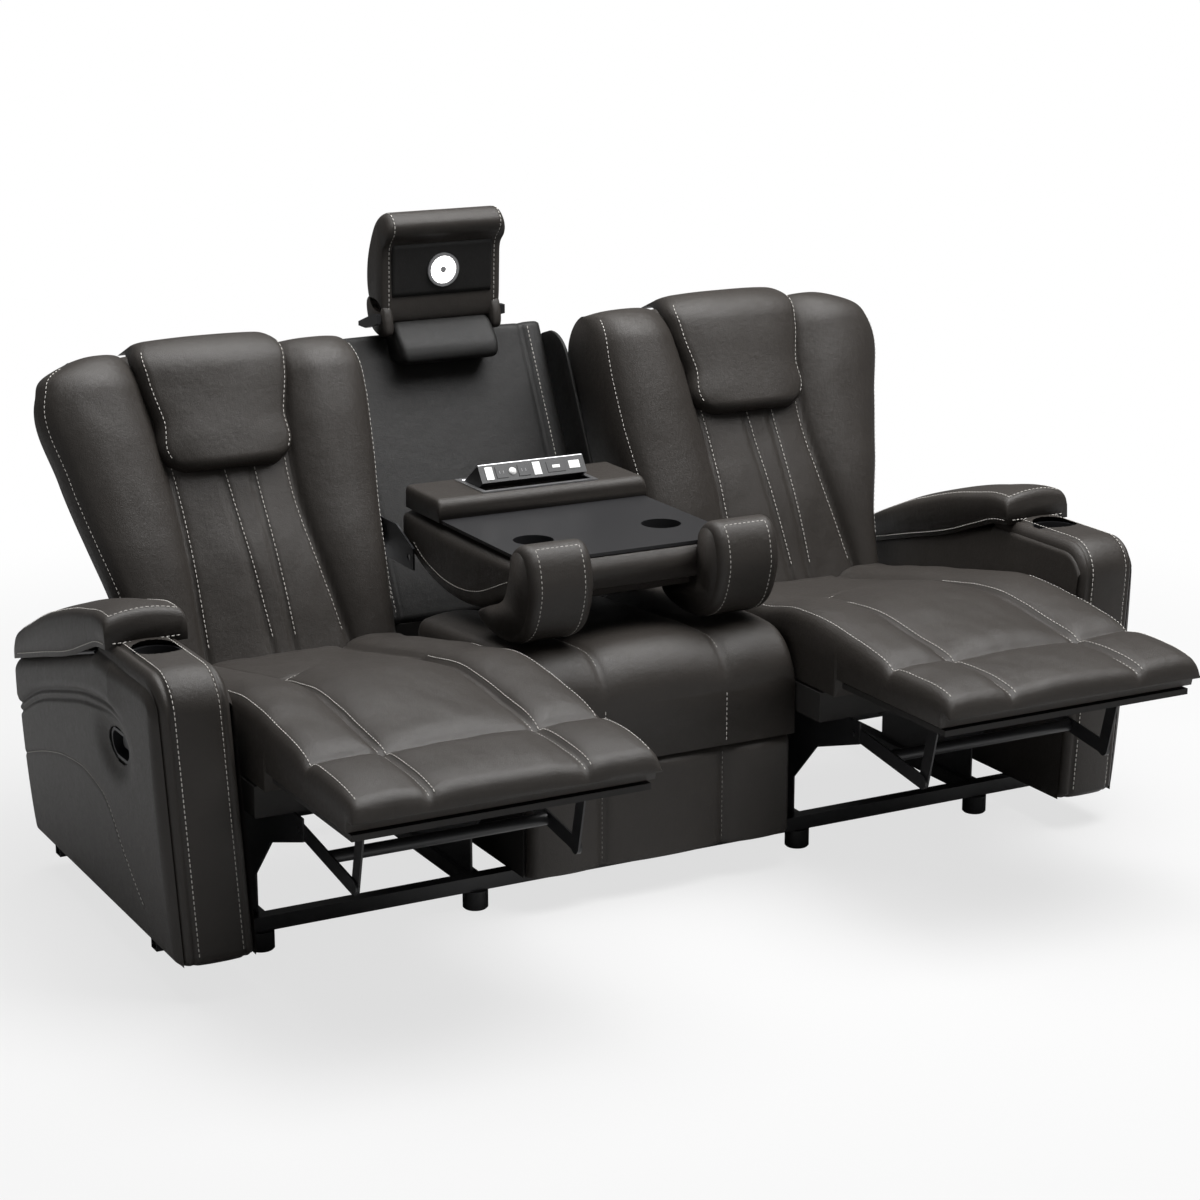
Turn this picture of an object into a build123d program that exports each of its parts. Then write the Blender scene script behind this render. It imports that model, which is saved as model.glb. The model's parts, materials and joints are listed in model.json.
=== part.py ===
"""Three-seat recliner sofa with a drop-down console, a raised head pad and arm storage."""

import os
from math import atan2, cos, degrees, radians, sin, tan

from build123d import *

os.makedirs("parts", exist_ok=True)

# Overall places, millimetres: X to the sitter's left as seen from the front, Z up, front towards -Y
ARM_FRONT = -407.0
FLOOR_GAP = 70.0
SIDES = {"left": -1, "right": 1}

# Fits
RUNNING_FIT = 0.08
SOFT_GAP = 0.4
SEAT_GAP = 4.0

# Base rails and feet
RAIL = 30.0
RAIL_WALL = 2.0
RAIL_REACH = 1060.0
FRONT_RAIL_DEPTH = 193.0
REAR_RAIL_DEPTH = 780.0
FOOT_RADIUS = 26.0
INNER_PLATE_X = 381.0
OUTER_PLATE_X = 842.0

# Seats
CENTER_HALF = 305.0
ARM_INNER_X = 928.0
FRAME_BOARD = 20.0
FRAME_BOTTOM = 340.0
FRAME_TOP = 402.0
FRAME_REAR = 640.0
STRAP_WIDTH = 50.0
STRAP_THICK = 3.0
STRAPS = 4
CUSHION_REAR = 622.0
SEAT_EDGE = 84.0
SEAT_CROWN = 26.0
KNEE_RISE = 50.0
SEAT_REAR_EDGE = 44.0
SEAT_CHANNEL = 170.0
CENTER_FRONT = 100.0
CENTER_PANEL_THICK = 28.0

# Footrest and its linkage
FOLD_DEPTH = -50.0
FOLD_Z = 434.0
FOLD_CLEAR = 14.0
BOARD_THICK = 12.0
BOARD_FRONT = -425.0
PAD_FRONT = -452.0
PAD_EDGE = 72.0
PAD_CROWN = 24.0
PLATE_THICK = 4.0
PLATE_GAP = 0.5
LINK_HALF = 15.0
PIN_RADIUS = 6.0
TUBE_RADIUS = 12.5
LINK_PIVOT_DEPTH = -20.0
LINK_PIVOT_Z = 312.0
LUG_FORWARD = 240.0
LUG_DROP = 34.0

# Arms
ARM_THICK = 139.0
ARM_FLARE = 0.06
ARM_BOARD = 18.0
ARM_TOP = 600.0
DECK_TOP = 624.0
DECK_REAR = 320.0
ARM_REAR = 850.0
ARM_REAR_TOP = 455.0
ARM_FRONT_WALL = 50.0
ARM_ROLL = 60.0
BIN_WALL = 3.0
BIN_FRONT_WALL = 15.0
BIN_LENGTH = 310.0
BIN_BOTTOM = 430.0
BIN_TOP = 505.0
BIN_HALF = 42.0
BIN_X = 1022.0
CUP_X = 1029.0
CUP_DEPTH = 190.0
CUP_RADIUS = 46.0
CUP_WALL = 2.0
CUP_FLANGE = 9.0
CUP_HEIGHT = 72.0

# Arm lids
LID_REAR_GAP = 6.0
LID_INNER_X = 948.0
LID_OUTER_X = 1113.0
LID_EDGE = 38.0
LID_CROWN = 22.0
LID_SIDE = 4.0
LID_PIN_RADIUS = 4.0
LID_PIN_X = 1103.0

# Release handles
HANDLE_DEPTH = 236.0
HANDLE_Z = 441.0
BEZEL_LENGTH = 104.0
BEZEL_WIDTH = 60.0
BEZEL_LIP = 4.0
BEZEL_FLANGE = 2.5
CUP_RECESS = 26.0
BEZEL_WALL = 2.5
LEVER_PIN = 3.0
LEVER_LENGTH = 58.0
LEVER_WIDTH = 22.0
LEVER_THICK = 7.0
LEVER_SETBACK = 10.0

# Reclining backs
BACK_LEAN = 22.0
BACK_DEPTH = 772.0
BACK_Z = 432.0
BACK_FRAME_THICK = 78.0
BACK_INNER_X = 294.0
BACK_OUTER_X = 986.0
BACK_LOW_INNER = 318.0
BACK_LOW_OUTER = 908.0
BACK_FLARE_FROM = 235.0
BACK_FLARE_TO = 380.0
BACK_HEIGHT = 615.0
BACK_EDGE = 76.0
BACK_CROWN = 40.0
BOLSTER = 128.0
BACK_PIN_RADIUS = 8.0
BACK_PIN_BEHIND = 40.0
BACK_PIN_UP = 30.0
PILLOW_LOW = 385.0
PILLOW_HIGH = 630.0
PILLOW_LOW_HALF = 121.0
PILLOW_HIGH_HALF = 163.0
PILLOW_X = 634.0
PILLOW_EDGE = 26.0
PILLOW_CROWN = 36.0

# Centre back
PANEL_DEPTH = 978.0
PANEL_Z = 590.0
PANEL_THICK = 66.0
PANEL_HALF = 276.0
PANEL_TOP = 1010.0
PANEL_LEAN = 27.0

# Console, folded down
CONSOLE_PIVOT_DEPTH = 745.0
CONSOLE_PIVOT_Z = 590.0
CONSOLE_HALF = 252.0
CONSOLE_BOTTOM = 530.0
CONSOLE_TOP = 688.0
CONSOLE_FRONT = 216.0
CONSOLE_REAR = 790.0
CONSOLE_RISE = 80.0
HORN_INNER = 168.0
HORN_OUTER = 280.0
HORN_FRONT = 122.0
HORN_TOP = 744.0
TRAY_THICK = 7.0
TRAY_HALF = 244.0
TRAY_CUP_X = 150.0
TRAY_CUP_DEPTH = 380.0
TRAY_CUP_RADIUS = 42.0
TRAY_CUP_WALL = 2.0
TRAY_CUP_HEIGHT = 64.0
BOX_FRONT = 622.0
BOX_HALF = 248.0
BOX_TOP = 738.0
BOX_ROLL = 14.0
CONSOLE_PIN_RADIUS = 8.0
BRACKET_X = 262.0
BRACKET_THICK = 4.0
BRACKET_EAR = 24.0
BRACKET_RISE = 60.0

# Pop-up power strip, standing open
STRIP_HALF = 126.0
STRIP_OPEN = 35.0
STRIP_PIVOT_DEPTH = 755.0
STRIP_LENGTH = 84.0
STRIP_FACE = 36.0
STRIP_GAP = 2.0
STRIP_PIN_RADIUS = 3.0
FRAME_LIP = 12.0
FRAME_PLATE = 3.0
POCKET_FRONT = 650.0
OUTLET_HALF_WIDTH = 17.0
OUTLET_HALF_HEIGHT = 13.0
OUTLET_THICK = 1.6
OUTLET_X = (-88.0, -44.0, 0.0, 44.0, 88.0)

# Raised head pad over the centre back
HEAD_HALF = 145.0
HEAD_HINGE_AHEAD = 52.0
HEAD_HINGE_RISE = 28.0
HEAD_ROD_RADIUS = 6.0
HEAD_TOP = 1298.0
HEAD_FACE_AHEAD = 9.0
HEAD_FACE_LEAN = 15.0
HEAD_FACE_HEIGHT = 178.0
HEAD_LIP_AHEAD = 56.0
HEAD_LIP_DROP = 44.0
HEAD_TOP_AHEAD = 20.0
HEAD_HEEL_BEHIND = 34.0
HEAD_HEEL_RISE = 14.0
HEAD_BACK_BEHIND = 58.0
HEAD_BACK_RISE = 150.0
HEAD_LUG = 12.0
HEAD_LUG_GAP = 3.0
HEAD_LUG_EDGE = 10.0
HEAD_LUG_SEAT = 40.0
FLAP_HALF = 118.0
FLAP_LOW_Z = 950.0
FLAP_THICK = 65.4
FLAP_HINGE_GAP = 12.0
LAMP_Z = 1142.0
LAMP_RADIUS = 38.0
LAMP_RIM = 7.0
LAMP_THICK = 9.0
LENS_THICK = 5.0
BUTTON_RADIUS = 7.0
BUTTON_STAND = 3.0


def at(depth):
    """Y of a depth measured back from the arm fronts."""
    return ARM_FRONT + depth


def save(piece, name):
    """Name a finished piece and write it out."""
    piece.part.label = name
    export_step(piece.part, f"parts/{name}.step")


def across(x):
    """Plane facing +X at x, with Y and Z as its own axes."""
    return Plane.YZ.offset(x)


def block(x0, x1, depth0, depth1, z0, z1, mode=Mode.ADD):
    """A box between two corners, with its depths measured from the arm fronts."""
    with Locations(((x0 + x1) / 2, at((depth0 + depth1) / 2), (z0 + z1) / 2)):
        Box(abs(x1 - x0), depth1 - depth0, z1 - z0, mode=mode)


def plate_outline(points):
    """Fill the outline of a plate seen from the side, points as depth and height."""
    with BuildLine() as outline:
        Polyline([(at(depth), z) for depth, z in points], close=True)
    make_face(outline.edges())


def bar_outline(start, end, half):
    """Fill a round-ended bar between two side-view points."""
    run = Vector(end[0] - start[0], end[1] - start[1])
    middle = (at((start[0] + end[0]) / 2), (start[1] + end[1]) / 2)
    with Locations(middle):
        SlotCenterToCenter(run.length, 2 * half, rotation=degrees(atan2(run.Y, run.X)))


def pad_slice(x0, x1, edge, crown, channel, swell):
    """Outline of a three-channel pad: flat underside, swelling sides and three crowned channels."""
    middle = (x0 + x1) / 2
    with BuildLine() as outline:
        Line((x0, 0), (x1, 0))
        ThreePointArc((x1, 0), (x1 + swell, edge / 2), (x1, edge))
        ThreePointArc((x1, edge), (x1 - channel / 2, edge + crown), (x1 - channel, edge))
        ThreePointArc((x1 - channel, edge), (middle, edge + crown), (x0 + channel, edge))
        ThreePointArc((x0 + channel, edge), (x0 + channel / 2, edge + crown), (x0, edge))
        ThreePointArc((x0, edge), (x0 - swell, edge / 2), (x0, 0))
    make_face(outline.edges())


def upright(depth, z):
    """Slice plane across the sofa at a depth, with its own Y axis up."""
    return Plane(origin=(0, at(depth), z), x_dir=(1, 0, 0), z_dir=(0, -1, 0))


BACK_UP = Vector(0, sin(radians(BACK_LEAN)), cos(radians(BACK_LEAN)))
BACK_OUT = Vector(0, -cos(radians(BACK_LEAN)), sin(radians(BACK_LEAN)))
BACK_FOOT = Vector(0, at(BACK_DEPTH), BACK_Z)


def back_slice(height, out=0.0):
    """Slice plane across a leaning back, its own Y axis pointing out of the back's front."""
    origin = BACK_FOOT + BACK_UP * height + BACK_OUT * out
    return Plane(origin=origin, x_dir=(1, 0, 0), z_dir=-BACK_UP)


# Base: two cross tubes, four side tubes and eight round feet
with BuildPart() as cross_rails:
    for rail_depth in (FRONT_RAIL_DEPTH, REAR_RAIL_DEPTH):
        with BuildSketch(across(-RAIL_REACH)):
            with Locations((at(rail_depth), FLOOR_GAP - RAIL / 2)):
                Rectangle(RAIL, RAIL)
                Rectangle(RAIL - 2 * RAIL_WALL, RAIL - 2 * RAIL_WALL, mode=Mode.SUBTRACT)
        extrude(amount=2 * RAIL_REACH)
save(cross_rails, "base_cross_rails")

PLATE_PLACES = [side * x for side in SIDES.values() for x in (INNER_PLATE_X, OUTER_PLATE_X)]
rail_front = FRONT_RAIL_DEPTH + RAIL / 2
rail_rear = REAR_RAIL_DEPTH - RAIL / 2
with BuildPart() as side_rails:
    with BuildSketch(Plane.XZ.offset(-at(rail_front))):
        with Locations([(x, FLOOR_GAP - RAIL / 2) for x in PLATE_PLACES]):
            Rectangle(RAIL, RAIL)
            Rectangle(RAIL - 2 * RAIL_WALL, RAIL - 2 * RAIL_WALL, mode=Mode.SUBTRACT)
    extrude(amount=-(rail_rear - rail_front))
save(side_rails, "base_side_rails")

with BuildPart() as feet:
    with BuildSketch():
        with Locations([(x, at(d)) for x in PLATE_PLACES for d in (FRONT_RAIL_DEPTH, REAR_RAIL_DEPTH)]):
            Circle(FOOT_RADIUS)
    extrude(amount=FLOOR_GAP - RAIL)
    chamfer(feet.edges().filter_by(GeomType.CIRCLE).group_by(Axis.Z)[0], 3)
save(feet, "glide_feet")

# Seat frames, webbing and cushions
SEAT_IN = CENTER_HALF + SEAT_GAP
SEAT_OUT = ARM_INNER_X - 2 * SEAT_GAP
SEAT_BASE = FRAME_TOP + STRAP_THICK
CUSHION_FRONT = FOLD_DEPTH + FOLD_CLEAR

with BuildPart() as seat_rails:
    for side in SIDES.values():
        inner, outer = side * SEAT_IN, side * SEAT_OUT
        block(inner, inner + side * FRAME_BOARD, FRAME_BOARD, FRAME_REAR - FRAME_BOARD, FRAME_BOTTOM, FRAME_TOP)
        block(outer - side * FRAME_BOARD, outer, FRAME_BOARD, FRAME_REAR - FRAME_BOARD, FRAME_BOTTOM, FRAME_TOP)
save(seat_rails, "seat_side_boards")

with BuildPart() as seat_ends:
    for side in SIDES.values():
        for front in (0, FRAME_REAR - FRAME_BOARD):
            block(side * SEAT_IN, side * SEAT_OUT, front, front + FRAME_BOARD, FRAME_BOTTOM, FRAME_TOP)
save(seat_ends, "seat_end_boards")

for name, side in SIDES.items():
    with BuildPart() as seat_cushion:
        x0, x1 = sorted((side * (SEAT_IN + 8), side * (SEAT_OUT - 8)))
        run = CUSHION_REAR - CUSHION_FRONT
        knee = SEAT_EDGE + KNEE_RISE
        slope = (knee + SEAT_REAR_EDGE) / 2
        for share, edge, crown in ((0, knee - 10, 14), (0.2, knee, 20), (0.6, slope, 20), (1, SEAT_REAR_EDGE, 10)):
            with BuildSketch(upright(CUSHION_FRONT + share * run, SEAT_BASE)):
                pad_slice(x0, x1, edge, crown, SEAT_CHANNEL, 6)
        loft()
    save(seat_cushion, f"{name}_seat_cushion")

# The frame's side boards run back to carry the centre panel
panel_foot = PANEL_DEPTH - (PANEL_Z - FRAME_TOP) * tan(radians(PANEL_LEAN))
panel_run = PANEL_THICK / cos(radians(PANEL_LEAN))
board_front = CENTER_FRONT + CENTER_PANEL_THICK
with BuildPart() as center_frame:
    for side in SIDES.values():
        block(side * (CENTER_HALF - FRAME_BOARD), side * CENTER_HALF, board_front, panel_foot + panel_run,
              FLOOR_GAP, FRAME_TOP)
    block(-CENTER_HALF, CENTER_HALF, FRAME_REAR - FRAME_BOARD, FRAME_REAR, FRAME_BOTTOM, FRAME_TOP)
    block(-CENTER_HALF, CENTER_HALF, panel_foot, panel_foot + panel_run, FRAME_BOTTOM, FRAME_TOP)
save(center_frame, "center_seat_frame")

with BuildPart() as center_panel:
    block(-CENTER_HALF, CENTER_HALF, CENTER_FRONT, board_front, FLOOR_GAP, FRAME_TOP)
    fillet(center_panel.edges().filter_by(Axis.X).group_by(Axis.Y)[0], 10)
save(center_panel, "center_front_panel")

with BuildPart() as webbing:
    for middle in (-(SEAT_IN + SEAT_OUT) / 2, 0, (SEAT_IN + SEAT_OUT) / 2):
        pitch = 2 * CENTER_HALF / (STRAPS + 1)
        front = board_front if middle == 0 else 0
        for number in range(STRAPS):
            x = middle + (number - (STRAPS - 1) / 2) * pitch
            block(x - STRAP_WIDTH / 2, x + STRAP_WIDTH / 2, front, FRAME_REAR, FRAME_TOP, SEAT_BASE)
save(webbing, "seat_webbing")

with BuildPart() as center_cushion:
    half = CENTER_HALF - 6
    run = CUSHION_REAR - CENTER_FRONT
    for share, edge_share, crown in ((0, 0.8, 14), (0.33, 1, 20), (0.67, 1, 20), (1, 0.85, 12)):
        with BuildSketch(upright(CENTER_FRONT + share * run, SEAT_BASE)):
            pad_slice(-half, half, SEAT_EDGE * edge_share, crown, SEAT_CHANNEL, 4)
    loft()
save(center_cushion, "center_seat_cushion")

# Footrest mechanism: plates on the base carry a parallelogram of links under each footrest
FOLD = (FOLD_DEPTH, FOLD_Z)
LUG = (FOLD_DEPTH - LUG_FORWARD, FOLD_Z - LUG_DROP)
PIVOT = (LINK_PIVOT_DEPTH, LINK_PIVOT_Z)
KNEE = (LINK_PIVOT_DEPTH - LUG_FORWARD, LINK_PIVOT_Z - LUG_DROP)
LAYER = PLATE_THICK + PLATE_GAP
PIN_END = 3.0
BOARD_UNDER = FOLD_Z - BOARD_THICK / 2
BOARD_OVER = FOLD_Z + BOARD_THICK / 2
BOARD_REAR = FOLD_DEPTH - FOLD_CLEAR
PLATE_OUTLINE = [(LINK_PIVOT_DEPTH - 22, LINK_PIVOT_Z - 18), (LINK_PIVOT_DEPTH - 22, FRAME_BOTTOM),
                 (FRAME_REAR, FRAME_BOTTOM), (FRAME_REAR, FRAME_BOTTOM - 60), (560, 170), (560, FLOOR_GAP),
                 (rail_front, FLOOR_GAP), (rail_front, 150), (120, LINK_PIVOT_Z - 70)]


def layer_span(x, inward, number):
    """Both faces of a plate in the stack beside a mechanism plate at x."""
    start = x + inward * (number * LAYER - PLATE_THICK / 2)
    return start, start + inward * PLATE_THICK


def pin(place, x0, x1, radius):
    """A round pin along X through a side-view point."""
    with BuildSketch(across(min(x0, x1))) as section:
        with Locations((at(place[0]), place[1])):
            Circle(radius)
    extrude(section.sketch, amount=abs(x1 - x0))


def stacked_plate(span, outline, holes=()):
    """A flat plate between two X faces, with round holes at side-view points."""
    with BuildSketch(across(min(span))) as section:
        outline()
        for place in holes:
            with Locations((at(place[0]), place[1])):
                Circle(PIN_RADIUS + RUNNING_FIT, mode=Mode.SUBTRACT)
    extrude(section.sketch, amount=abs(span[1] - span[0]))


with BuildPart() as plates:
    for x in PLATE_PLACES:
        stacked_plate((x - PLATE_THICK / 2, x + PLATE_THICK / 2), lambda: plate_outline(PLATE_OUTLINE), [PIVOT])
save(plates, "mechanism_plates")

for name, side in SIDES.items():
    stacks = [(side * INNER_PLATE_X, side), (side * OUTER_PLATE_X, -side)]

    with BuildPart() as lower_links:
        for x, inward in stacks:
            span = layer_span(x, inward, 1)
            stacked_plate(span, lambda: bar_outline(PIVOT, KNEE, LINK_HALF), [KNEE])
            pin(PIVOT, layer_span(x, inward, 0)[0] - inward * PIN_END, span[0], PIN_RADIUS)
        tube_place = ((PIVOT[0] + KNEE[0]) / 2, (PIVOT[1] + KNEE[1]) / 2)
        pin(tube_place, layer_span(*stacks[0], 1)[1], layer_span(*stacks[1], 1)[1], TUBE_RADIUS)
    save(lower_links, f"{name}_lower_links")

    with BuildPart() as front_links:
        for x, inward in stacks:
            span = layer_span(x, inward, 2)
            stacked_plate(span, lambda: bar_outline(KNEE, LUG, LINK_HALF))
            pin(KNEE, layer_span(x, inward, 1)[0] - inward * PLATE_GAP / 2, span[0], PIN_RADIUS)
            pin(LUG, span[1], layer_span(x, inward, 3)[1] + inward * PIN_END, PIN_RADIUS)
    save(front_links, f"{name}_front_links")

    with BuildPart() as footrest_board:
        x0, x1 = sorted((side * (SEAT_IN + 12), side * (SEAT_OUT - 12)))
        block(x0, x1, BOARD_FRONT, BOARD_REAR, BOARD_UNDER, BOARD_OVER)
    save(footrest_board, f"{name}_footrest_board")

    lug_outline = [(LUG[0] - 60, BOARD_UNDER), (LUG[0] + 60, BOARD_UNDER),
                   (LUG[0] + LINK_HALF, LUG[1] - LINK_HALF), (LUG[0] - LINK_HALF, LUG[1] - LINK_HALF)]
    with BuildPart() as footrest_lugs:
        for x, inward in stacks:
            stacked_plate(layer_span(x, inward, 3), lambda: plate_outline(lug_outline), [LUG])
    save(footrest_lugs, f"{name}_footrest_lugs")

    with BuildPart() as footrest_pad:
        x0, x1 = sorted((side * (SEAT_IN + 8), side * (SEAT_OUT - 8)))
        run = BOARD_REAR - PAD_FRONT
        for share, edge_share, crown in ((0, 1.1, 16), (0.4, 1, PAD_CROWN), (0.9, 0.95, PAD_CROWN), (1, 0.5, 8)):
            with BuildSketch(upright(BOARD_REAR - share * run, BOARD_OVER)):
                pad_slice(x0, x1, PAD_EDGE * edge_share, crown, SEAT_CHANNEL, 6)
        loft()
    save(footrest_pad, f"{name}_footrest_pad")

# Arms: flared boxes of four boards, sloping down to the rear
ARM_SLOPE = (ARM_TOP - ARM_REAR_TOP) / (ARM_REAR - DECK_REAR)


def arm_x(side, base, z):
    """X of an arm face that stands at base on the floor edge and flares outwards."""
    return side * (base + ARM_FLARE * (z - FLOOR_GAP))


def arm_slab(side, base0, base1, top, front, rear, mode=Mode.ADD):
    """A flared slab of the arm between two faces and two depths."""
    corners = [(base0, FLOOR_GAP), (base1, FLOOR_GAP), (base1, top), (base0, top)]
    with BuildSketch(Plane.XZ.offset(-at(front))) as section:
        with BuildLine() as outline:
            Polyline([(arm_x(side, base, z), z) for base, z in corners], close=True)
        make_face(outline.edges())
    extrude(section.sketch, amount=-(rear - front), mode=mode)


def handle_plane(side, setback):
    """Plane on the arm's outer face at the release handle, facing out."""
    face_x = arm_x(side, ARM_INNER_X + ARM_THICK, HANDLE_Z)
    out = Vector(side, 0, -ARM_FLARE).normalized()
    origin = Vector(face_x, at(HANDLE_DEPTH), HANDLE_Z) - out * setback
    return Plane(origin=origin, x_dir=(0, 1, 0), z_dir=out)


ARM_OUTER_X = ARM_INNER_X + ARM_THICK
SIDE_PROFILE = [(ARM_FRONT_WALL, FLOOR_GAP), (ARM_REAR - ARM_BOARD, FLOOR_GAP),
                (ARM_REAR - ARM_BOARD, ARM_REAR_TOP + ARM_BOARD * ARM_SLOPE), (DECK_REAR, ARM_TOP),
                (ARM_FRONT_WALL, ARM_TOP)]
HOLE_LENGTH = BEZEL_LENGTH - 2 * BEZEL_LIP
HOLE_WIDTH = BEZEL_WIDTH - 2 * BEZEL_LIP

for name, side in SIDES.items():
    with BuildPart() as inner_side:
        arm_slab(side, ARM_INNER_X, ARM_INNER_X + ARM_BOARD, DECK_TOP, 0, ARM_REAR)
        with BuildSketch(across(0)):
            plate_outline(SIDE_PROFILE)
        extrude(amount=side * 2 * ARM_OUTER_X, mode=Mode.INTERSECT)
    save(inner_side, f"{name}_arm_inner_side")

    with BuildPart() as outer_side:
        arm_slab(side, ARM_OUTER_X - ARM_BOARD, ARM_OUTER_X, DECK_TOP, 0, ARM_REAR)
        with BuildSketch(across(0)):
            plate_outline(SIDE_PROFILE)
        extrude(amount=side * 2 * ARM_OUTER_X, mode=Mode.INTERSECT)
        with BuildSketch(handle_plane(side, 2 * ARM_BOARD)):
            SlotOverall(HOLE_LENGTH, HOLE_WIDTH)
        extrude(amount=4 * ARM_BOARD, mode=Mode.SUBTRACT)
    save(outer_side, f"{name}_arm_outer_side")

    with BuildPart() as arm_front:
        arm_slab(side, ARM_INNER_X, ARM_OUTER_X, DECK_TOP, 0, DECK_REAR)
        with BuildSketch(across(0)):
            with BuildLine():
                FilletPolyline((at(0), FLOOR_GAP + 1), (at(0), DECK_TOP), (at(DECK_REAR), DECK_TOP),
                               radius=ARM_ROLL)
                Polyline((at(DECK_REAR), DECK_TOP), (at(DECK_REAR), BIN_BOTTOM),
                         (at(DECK_REAR - BIN_FRONT_WALL), BIN_BOTTOM),
                         (at(DECK_REAR - BIN_FRONT_WALL), ARM_TOP),
                         (at(ARM_FRONT_WALL), ARM_TOP), (at(ARM_FRONT_WALL), FLOOR_GAP + 1),
                         (at(0), FLOOR_GAP + 1))
            make_face()
        extrude(amount=side * 2 * ARM_OUTER_X, mode=Mode.INTERSECT)
        with BuildSketch(Plane.XY.offset(DECK_TOP)):
            with Locations((side * CUP_X, at(CUP_DEPTH))):
                Circle(CUP_RADIUS + CUP_WALL)
        extrude(amount=ARM_TOP - DECK_TOP, mode=Mode.SUBTRACT)
        for base in (ARM_INNER_X, ARM_OUTER_X - ARM_BOARD):
            arm_slab(side, base, base + ARM_BOARD, ARM_TOP, ARM_FRONT_WALL, DECK_REAR, Mode.SUBTRACT)
    save(arm_front, f"{name}_arm_front")

with BuildPart() as arm_backs:
    for side in SIDES.values():
        arm_slab(side, ARM_INNER_X, ARM_OUTER_X, ARM_REAR_TOP, ARM_REAR - ARM_BOARD, ARM_REAR)
save(arm_backs, "arm_rear_boards")

with BuildPart() as bins:
    for side in SIDES.values():
        x0, x1 = side * (BIN_X - BIN_HALF), side * (BIN_X + BIN_HALF)
        block(x0, x1, DECK_REAR, DECK_REAR + BIN_LENGTH, BIN_BOTTOM, BIN_TOP)
        block(x0 + side * BIN_WALL, x1 - side * BIN_WALL, DECK_REAR + BIN_WALL,
              DECK_REAR + BIN_LENGTH - BIN_WALL, BIN_BOTTOM + BIN_WALL, BIN_TOP, mode=Mode.SUBTRACT)
save(bins, "arm_storage_bins")

with BuildPart() as arm_cups:
    for side in SIDES.values():
        with BuildSketch(Plane.XY.offset(DECK_TOP)):
            with Locations((side * CUP_X, at(CUP_DEPTH))):
                Circle(CUP_RADIUS + CUP_FLANGE)
        extrude(amount=CUP_WALL)
        with BuildSketch(Plane.XY.offset(DECK_TOP)):
            with Locations((side * CUP_X, at(CUP_DEPTH))):
                Circle(CUP_RADIUS + CUP_WALL - RUNNING_FIT)
        extrude(amount=-CUP_HEIGHT)
        with BuildSketch(Plane.XY.offset(DECK_TOP - CUP_HEIGHT + CUP_WALL)):
            with Locations((side * CUP_X, at(CUP_DEPTH))):
                Circle(CUP_RADIUS)
        extrude(amount=CUP_HEIGHT + CUP_WALL, mode=Mode.SUBTRACT)
save(arm_cups, "arm_cup_holders")

# Arm lids: padded lids on a long pin along each outer edge
LID_TILT = Vector(0, ARM_REAR - DECK_REAR, ARM_REAR_TOP - ARM_TOP).normalized()
LID_OUT = Vector(0, -LID_TILT.Z, LID_TILT.Y)
LID_START = Vector(0, at(DECK_REAR), ARM_TOP) + LID_OUT * SOFT_GAP
LID_LENGTH = (ARM_REAR - DECK_REAR) / LID_TILT.Y - LID_REAR_GAP


def lid_plane(along, out=0.0):
    """Slice plane across a lid, its own Y axis pointing out of the lid's top."""
    return Plane(origin=LID_START + LID_TILT * along + LID_OUT * out, x_dir=(1, 0, 0), z_dir=-LID_TILT)


def lid_pin_circle(side, radius):
    """Round section of a lid's hinge pin."""
    with Locations((side * LID_PIN_X, LID_PIN_RADIUS - SOFT_GAP)):
        Circle(radius)


for name, side in SIDES.items():
    with BuildPart() as lid:
        x0, x1 = sorted((side * LID_INNER_X, side * LID_OUTER_X))
        lid_slices = ((0, 0.9, 12), (0.15, 1, LID_CROWN), (0.85, 1, LID_CROWN), (1, 0.8, 10))
        for share, edge_share, crown in lid_slices:
            along = LID_SIDE + 16 + share * (LID_LENGTH - LID_SIDE - 16)
            with BuildSketch(lid_plane(along)):
                with BuildLine():
                    edge = LID_EDGE * edge_share
                    Line((x0, 0), (x1, 0))
                    ThreePointArc((x1, 0), (x1 + LID_SIDE, edge / 2), (x1, edge))
                    ThreePointArc((x1, edge), ((x0 + x1) / 2, edge + crown), (x0, edge))
                    ThreePointArc((x0, edge), (x0 - LID_SIDE, edge / 2), (x0, 0))
                make_face()
        loft()
        with BuildSketch(lid_plane(0)):
            lid_pin_circle(side, LID_PIN_RADIUS + RUNNING_FIT)
        extrude(amount=-2 * LID_LENGTH, mode=Mode.SUBTRACT)
    save(lid, f"{name}_arm_lid")

with BuildPart() as lid_pins:
    for side in SIDES.values():
        with BuildSketch(lid_plane(LID_SIDE)):
            lid_pin_circle(side, LID_PIN_RADIUS)
        extrude(amount=-(LID_LENGTH - LID_SIDE))
save(lid_pins, "lid_hinge_pins")

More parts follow.
